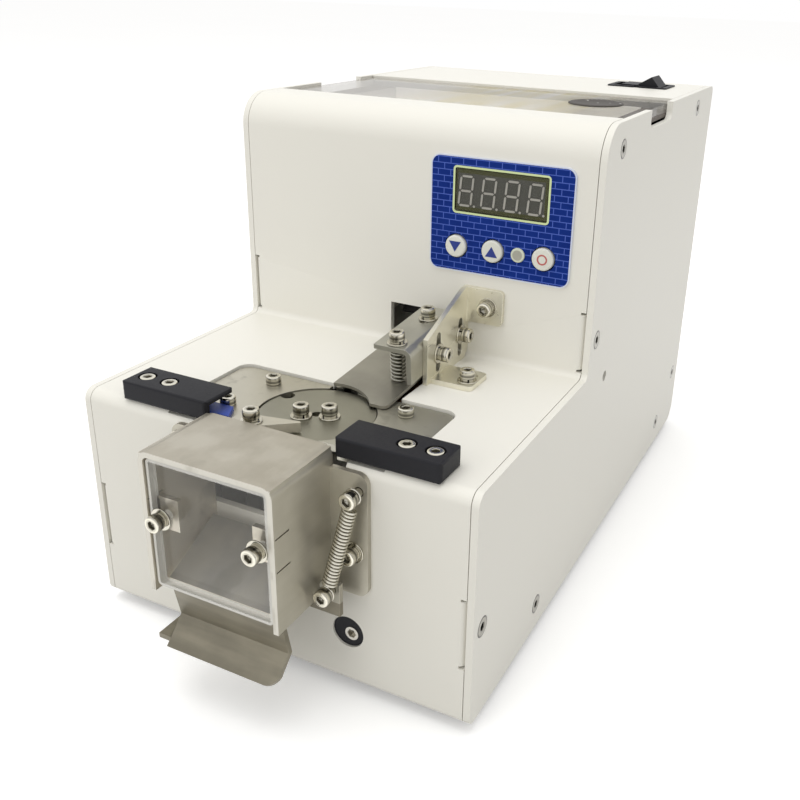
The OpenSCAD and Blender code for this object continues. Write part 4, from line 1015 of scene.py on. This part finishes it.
def screws(name, seats, nodes, head=cap_head, seed=3):
    marks = {"facing": [seat.facing for seat in seats], "washers": [float(seat.washers) for seat in seats],
             "reach": [seat.reach * MM for seat in seats]}
    piece = grow(name, SCREWS, [seat.point for seat in seats], marks, Head=head, Lock_washer=lock_washer,
                 Flat_washer=flat_washer, Shank=shank, Washer_stack=WASHER_STACK * MM, Seed=seed,
                 Finish=SCREW_FINISH)
    stand_for(piece, *nodes)


table_holes = ((-18.7, 30.9), (25.3, 30.9), (-21, 13), (27.6, 15.4))
disc_holes = ((0.4, 17.2), (7.4, 20.5))
block_holes, window_holes = (-44.9, -37.1, 37.1, 44.9), (-14.45, 14.45)
bracket_holes = ((57.08, 76.22), (71.84, 77.38))
flange_holes = ((-26.15, 61.7), (-24.45, 43.8), (28.25, 43.8))
side_holes = ((92.8, 134.6), (83.8, 79.2), (5.5, 28.3), (188.8, 136.4), (204.6, 24.1), (183.4, 9.2),
              (45.8, 8.4))
print("holes in each side plate:", len(side_holes))

# %% [markdown]
# ## Putting the screws in
# The cap screws that stay with the housing make one piece: those of the table, the sensor blocks, the
# bracket, the box with the post that its spring hooks on, the window and the deflector. The others are
# pieces of their own, because they move with the disc, the guide or the door, or have flat heads.

# %% Place the screws
seats = [Seat(at(x, y, TABLE_TOP), UP, reach=1) for x, y in table_holes]
seats += [Seat(at(FEED_X + x, BLOCK_Y, BLOCK_SEAT), UP) for x in block_holes]
seats += [Seat(at(BRACKET_SIDE, y, z), RIGHT, washers=1, reach=3) for y, z in bracket_holes]
seats += [Seat(at(x, FLANGE_Y, z), FRONT, washers=1) for x, z in flange_holes]
seats += [Seat(at(HOOK_HIGH.x, POST_HIGH_Y, HOOK_HIGH.z), FRONT, reach=4)]
seats += [Seat(at(FEED_X + x, WINDOW_Y, WINDOW_Z), FRONT, washers=1, reach=4) for x in window_holes]
seats += [Seat(at(*DEFLECTOR_HOLE), UP, washers=1), Seat(at(*EAR_HOLE), FRONT, washers=1),
          Seat(at(*FOOT_HOLE), UP, washers=1)]
screws("machine_screws", seats, ["table_screws", "sensor_screws", "bracket_screws", "box_screws",
                                 "window_screws", "deflector_screw"])
seats = [Seat(at(x, y, DISC_TOP), UP, washers=1) for x, y in disc_holes]
screws("disc_cap_screws", seats, ["disc_screws"])
seats = [Seat(on_slope(GUIDE_SIDE, y, GUIDE_HEADS), SLOPE @ UP, washers=1, reach=13) for y in GUIDE_SCREWS]
screws("guide_cap_screws", seats, ["guide_screws"])
screws("door_cap_screw", [Seat(at(HOOK_LOW.x, POST_LOW_Y, HOOK_LOW.z), FRONT, reach=4)], ["door_post"])
seats = [Seat(at(s * PLATE_SIDE, y, z), RIGHT * s) for s in (-1, 1) for y, z in side_holes]
screws("side_flat_screws", seats, ["panel_screws"], head=flat_head, seed=11)

# %% [markdown]
# ## The guide's springs
# Two compression springs press the guide down on the screws that pass under it. A spiral curve gets the
# wire's round section, and two points carry it. The coils are baked in place, and the solid springs are
# hidden.

# %% Compression springs
COIL_LOW, COIL_LONG, COIL_R, WIRE_R, COIL_TURNS = 2.4, 9.4, 1.95, 0.35, 8.0


def spring_tree():
    t = Growth("springs_on_points", Coil_radius="Float", Wire_radius="Float", Turns="Float", Length="Float",
               Finish="Material")
    radius = t.read("Coil_radius")
    coil = t.add("GeometryNodeCurveSpiral", {}, Resolution=24, Rotations=t.read("Turns"), Start_Radius=radius,
                 End_Radius=radius, Height=t.read("Length"))
    wire = t.add("GeometryNodeCurvePrimitiveCircle", {}, Resolution=10, Radius=t.read("Wire_radius"))
    tube = t.add("GeometryNodeCurveToMesh", {}, Curve=coil, Profile_Curve=wire, Fill_Caps=True)
    upright = t.upright_on(t.mark("facing", "FLOAT_VECTOR"))
    t.end(t.place(t.read("Geometry"), tube, Rotation=upright))
    return t


places = [on_slope(GUIDE_SIDE, y, COIL_LOW) for y in GUIDE_SCREWS]
guide_coils = grow("guide_coils", spring_tree(), places, {"facing": [SLOPE @ UP] * len(places)},
                   Coil_radius=COIL_R * MM, Wire_radius=WIRE_R * MM, Turns=COIL_TURNS, Length=COIL_LONG * MM,
                   Finish=FINISHES["nickel"])
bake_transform(guide_coils)
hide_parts("guide_springs")

# %% [markdown]
# ## The trap door's spring
# A tension spring closes the trap door. It is one wire: a ring round the upper screw, a coil, and a ring
# round the screw on the door. No ready curve has those rings, so its path is worked out point by point,
# and a tree gives the wire its section.

# %% Spring path
RING_STEPS, LEAD_STEPS, TURN_STEPS = 28, 8, 20
RING_ARC, HIGH_FROM, LOW_FROM = 320, 40, 180


def hooked_path(high, low, ring_r, coil_r, leads, turns):
    axis = (low - high).normalized()
    down = Vector((axis.x, 0, axis.z)).normalized()
    aside = down.cross(FRONT)
    side = axis.cross(FRONT).normalized()
    depth = side.cross(axis)

    def ring(middle, start):
        angles = [math.radians(start + RING_ARC * i / RING_STEPS) for i in range(RING_STEPS + 1)]
        return [middle + ring_r * (down * math.cos(a) + aside * math.sin(a)) for a in angles]

    first, last = ring_r + leads[0], (low - high).length - ring_r - leads[1]
    count = turns * TURN_STEPS
    coil = []
    for i in range(-LEAD_STEPS, count + LEAD_STEPS + 1):
        before, after = max(0, -i) / LEAD_STEPS, max(0, i - count) / LEAD_STEPS
        along = first + (last - first) * max(0, min(1, i / count)) + leads[1] * after - leads[0] * before
        a = math.tau * i / TURN_STEPS
        out = coil_r * (1 - before - after)
        coil.append(high + axis * along + out * (side * math.cos(a) + depth * math.sin(a)))
    return ring(high, HIGH_FROM) + coil + ring(low, LOW_FROM)


hooked = hooked_path(HOOK_HIGH, HOOK_LOW, ring_r=1.95, coil_r=1.7, leads=(1.5, 0.8), turns=23)
path = [at(*p) for p in hooked]
print("spring path:", len(path), "points")


# %% Tension spring
def wire_tree():
    t = Growth("wire_on_path", Wire_radius="Float", Finish="Material")
    curve = t.add("GeometryNodeMeshToCurve", {}, t.read("Geometry"))
    wire = t.add("GeometryNodeCurvePrimitiveCircle", {}, Resolution=8, Radius=t.read("Wire_radius"))
    t.end(t.add("GeometryNodeCurveToMesh", {}, Curve=curve, Profile_Curve=wire, Fill_Caps=True))
    return t


spring_steel = rolled_metal("spring_steel", (0.60, 0.575, 0.50), 0.20, "z", blotch=0.08, lines=0.2)
links = [(i, i + 1) for i in range(len(path) - 1)]
door_coil = grow("door_coil", wire_tree(), path, {}, links, Wire_radius=WIRE_R * MM, Finish=spring_steel)
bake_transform(door_coil)
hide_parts("door_spring")

# %% [markdown]
# ## Thin plates
# The digits' segments, the face behind them and the marks on the keys are thin prints. They could be part
# of a material, but a thin plate keeps a crisp edge and lies at its own depth. Its outline is the one
# seen from the front.


# %% Plates
def plate_piece(name, outlines, front, back, holes=()):
    """Thin plates from outlines in x and z, between two depths; a hole has as many corners as its outline."""
    bm = bmesh.new()
    for k, outline in enumerate(outlines):
        loops = [outline] + list(holes[k:k + 1])
        rings = [[[bm.verts.new(at(x, y, z)) for x, z in loop] for y in (front, back)] for loop in loops]
        count = len(outline)
        for near, far in rings:
            for i in range(count):
                bm.faces.new((near[i], far[i], far[i - 1], near[i - 1]))
        for side in (0, 1):
            if len(rings) == 1:
                bm.faces.new(rings[0][side])
            else:
                outer, inner = rings[0][side], rings[1][side]
                for i in range(count):
                    bm.faces.new((outer[i], outer[i - 1], inner[i - 1], inner[i]))
    return mesh_piece(name, bm)


def circle_outline(x, z, r, sides=24):
    angles = [math.tau * i / sides for i in range(sides)]
    return [(x + r * math.cos(a), z + r * math.sin(a)) for a in angles]


print("plate helpers ready")

# %% [markdown]
# ## Four digits
# The display is off, so its segments show as pale bars. A digit is seven six-sided bars and a point,
# leaning by five degrees, and a tree sets four of them in a row, in front of the grey face.

# %% One digit
LEAN = math.tan(math.radians(5))
DIGIT_W, DIGIT_H, POINT_X, POINT_R = 1.95, 4.35, 2.75, 0.36


def bar(x0, z0, x1, z1, half=0.31, gap=0.26):
    run = Vector((x1 - x0, z1 - z0)).normalized()
    off = Vector((-run.y, run.x)) * half
    a, b = Vector((x0, z0)) + run * gap, Vector((x1, z1)) - run * gap
    corners = [a, a + run * half + off, b - run * half + off, b, b - run * half - off, a + run * half - off]
    return [(p.x + p.y * LEAN, p.y) for p in corners]


bars = [bar(-DIGIT_W, z, DIGIT_W, z) for z in (DIGIT_H, 0, -DIGIT_H)]
bars += [bar(x, z, x, z + DIGIT_H) for z in (0, -DIGIT_H) for x in (-DIGIT_W, DIGIT_W)]
point = circle_outline(POINT_X, -DIGIT_H, POINT_R, sides=12)
digit = plate_piece("digit", bars + [point], front=0, back=0.1)
digit.data.transform(Matrix.Translation(-START))
print("digit:", len(bars), "bars and a point")

# %% The row of digits
DIGIT_COUNT, DIGIT_PITCH = 4, 7.31
ROW_X, ROW_Z = VIEW.x - 0.25, VIEW.z - 0.27
GLASS_Y, FACE_INSET = front_of("display_window"), 0.15
SEGMENT_Y, FACE_Y, FACE_BACK = GLASS_Y + 0.4, GLASS_Y + 0.6, GLASS_Y + 0.8
FACE_HALF_W, FACE_HALF_H = VIEW_HALF.x - FACE_INSET, VIEW_HALF.z - FACE_INSET


def row_tree():
    t = Growth("digits_in_a_row", Digit="Object", Count="Int", Start="Vector", Pitch="Vector",
               Finish="Material")
    line = t.add("GeometryNodeMeshLine", {"mode": "OFFSET"}, Count=t.read("Count"),
                 Start_Location=t.read("Start"), Offset=t.read("Pitch"))
    t.end(t.place(line, t.shape_of("Digit")))
    return t


unlit = moulded("unlit_segment", (0.45, 0.435, 0.39), 0.45, grit=0.1)
first_digit = at(ROW_X - (DIGIT_COUNT - 1) / 2 * DIGIT_PITCH, SEGMENT_Y, ROW_Z)
digits = grow("digits", row_tree(), [START], {}, Digit=digit, Count=DIGIT_COUNT, Start=tuple(first_digit),
              Pitch=(DIGIT_PITCH * MM, 0.0, 0.0), Finish=unlit)
corners = [(VIEW.x + sx * FACE_HALF_W, VIEW.z + sz * FACE_HALF_H)
           for sx, sz in ((-1, -1), (1, -1), (1, 1), (-1, 1))]
face = dress(plate_piece("digit_face", [corners], FACE_Y, FACE_BACK), digit_face())
for piece in (digits, face):
    add_to(piece, "digit_module")

# %% [markdown]
# ## Marks on the keys
# The keys carry plain printed marks: a triangle that points down, one that points up, and a ring. Each is
# a thin plate on the key's face, and goes in with the key.

# %% Key marks
KEY_Y, MARK_PROUD, MARK_SUNK = front_of("button_set"), 0.07, 0.04
RING_OUTER, RING_INNER = 1.6, 1.15
mark_blue = moulded("mark_blue", (0.010, 0.030, 0.22), 0.40, grit=0.1)
mark_red = moulded("mark_red", (0.48, 0.12, 0.11), 0.40, grit=0.1)


def mark_piece(name, outline, finish, node, holes=()):
    plate = plate_piece(name, [outline], KEY_Y - MARK_PROUD, KEY_Y + MARK_SUNK, holes)
    add_to(dress(plate, finish), node)


def triangle(x, z, way, half=1.95, tall=1.6):
    return [(x - half, z - way * tall), (x + half, z - way * tall), (x, z + way * tall)]


key_down, key_up, key_set = [middle_of(node) for node in ("button_down", "button_up", "button_set")]
mark_piece("mark_down", triangle(key_down.x, key_down.z, -1), mark_blue, "button_down")
mark_piece("mark_up", triangle(key_up.x, key_up.z, 1), mark_blue, "button_up")
mark_piece("mark_set", circle_outline(key_set.x, key_set.z, RING_OUTER), mark_red, "button_set",
           [circle_outline(key_set.x, key_set.z, RING_INNER)])
print("marks on three keys")

# %% [markdown]
# ## The lid's dark pad
# A dark round pad with a rough top sits on the lid, as a grip. It is turned like the screws, and a few pale
# specks lie on it.

# %% Lid pad
PAD_SUNK = 0.02
PAD_AT = at(40, 131.5, top_of("hopper_lid") - PAD_SUNK)
PAD_TONES, SPECK = ((0.07, 0.064, 0.058), (0.11, 0.102, 0.094)), (0.62, 0.61, 0.58)
PAD_STEPS = [(8.7, 0, 1), (9.0, 0.12, 1), (9.0, 0.36, 1), (8.7, 0.5, 1), (6.6, 0.5, 1), (6.3, 0.42, 1)]


def pad_rubber():
    f = Finish("pad_rubber")
    speck = f.grain(650, detail=1.0).ramp(0.70, 0.74)
    cloud = f.grain(200)
    rubber = f.mix(speck, f.mix(cloud, *PAD_TONES), SPECK)
    return f.set(Base_Color=rubber, Roughness=cloud * 0.2 + 0.5, Specular_IOR_Level=0.1)


pad = turned("lid_pad", PAD_STEPS, sides=64)
pad.data.transform(Matrix.Translation(PAD_AT))
dress(pad, pad_rubber())
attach(pad, body_of("hopper_lid"))
print("pad on the lid:", len(pad.data.polygons), "faces")

# %% [markdown]
# ## Patterns go
# The heads, washers, shank and digit that the trees copied were only patterns. They belong to no body, so
# they leave the scene before it is finished.

# %% Clear away the patterns
for pattern in (cap_head, flat_head, flat_washer, lock_washer, shank, digit):
    bpy.data.objects.remove(pattern)

# %% [markdown]
# ## The floor
# The machine stands on a pale floor. It is white to the camera and in reflections, as paper is, but a
# white floor would light the machine from below. So it throws less light back than it shows, as a grey
# bench would.

# %% Floor
REACH = 6.0
PAPER_TONES, BENCH_GREY = ((0.97, 0.97, 0.97), (0.99, 0.99, 0.99)), (0.58, 0.575, 0.56)
NO_GLOW, PAPER_GLOW = (0, 0, 0), (0.2, 0.2, 0.2)
floor_corners = [(-REACH, -REACH, 0), (REACH, -REACH, 0), (REACH, REACH, 0), (-REACH, REACH, 0)]
floor_mesh = bpy.data.meshes.new("floor")
floor_mesh.from_pydata(floor_corners, [], [(0, 1, 2, 3)])
floor = new_piece("floor", floor_mesh)


def seen_directly(tree):
    """One for rays from the camera, a mirror or a clear piece."""
    light = tree.nodes.new("ShaderNodeLightPath")
    kinds = ("Is Camera Ray", "Is Glossy Ray", "Is Transmission Ray")
    rays = [Wire(tree, light.outputs[kind]) for kind in kinds]
    return rays[0].math("MAXIMUM", rays[1]).math("MAXIMUM", rays[2])


def studio_paper():
    f = Finish("studio_floor")
    white = f.mix(f.grain(3, detail=2.0), *PAPER_TONES)
    seen = seen_directly(f)
    return f.set(Base_Color=f.mix(seen, BENCH_GREY, white), Roughness=0.9, Specular_IOR_Level=0.0,
                 Emission_Color=f.mix(seen, NO_GLOW, PAPER_GLOW), Emission_Strength=1.0)


dress(floor, studio_paper())
print("floor laid")

# %% [markdown]
# ## Light
# The light is even, as in a product photograph: a bright world all round, a soft lamp overhead and a weak
# one in front. The world is plain white where it is seen, and a little dimmer as a light. The lamps are
# hidden from reflections, where their square outlines would show.

# %% World and lamps
SKY_LIGHT, SKY_SEEN = ((1, 0.995, 0.985), 0.80), ((1, 1, 1), 1.0)
world = bpy.data.worlds.new("studio")
scene.world = world
world.use_nodes = True
world.node_tree.nodes.clear()
sky = NodeTree(world.node_tree)
glow = sky.add("ShaderNodeBackground", {}, *SKY_LIGHT)
white = sky.add("ShaderNodeBackground", {}, *SKY_SEEN)
choice = sky.add("ShaderNodeMixShader", {}, seen_directly(sky), glow, white)
sky.links.new(choice.socket, sky.nodes.new("ShaderNodeOutputWorld").inputs[0])


def soft_lamp(name, place, aim, size, power):
    lamp = bpy.data.lights.new(name, "AREA")
    lamp.size, lamp.energy = size, power
    body = bpy.data.objects.new(name, lamp)
    aim_back = (Vector(place) - Vector(aim)).to_track_quat("Z", "Y").to_matrix()
    body.matrix_world = Matrix.Translation(place) @ aim_back.to_4x4()
    body.visible_glossy = False
    scene.collection.objects.link(body)


soft_lamp("overhead", (-0.15, -0.15, 1.3), aim=(0, 0, 0), size=1.1, power=6.6)
soft_lamp("front", (-0.55, -1.25, 0.55), aim=(0, -0.05, 0.07), size=0.7, power=2.7)
scene.view_settings.view_transform = "Standard"
print("studio lit")
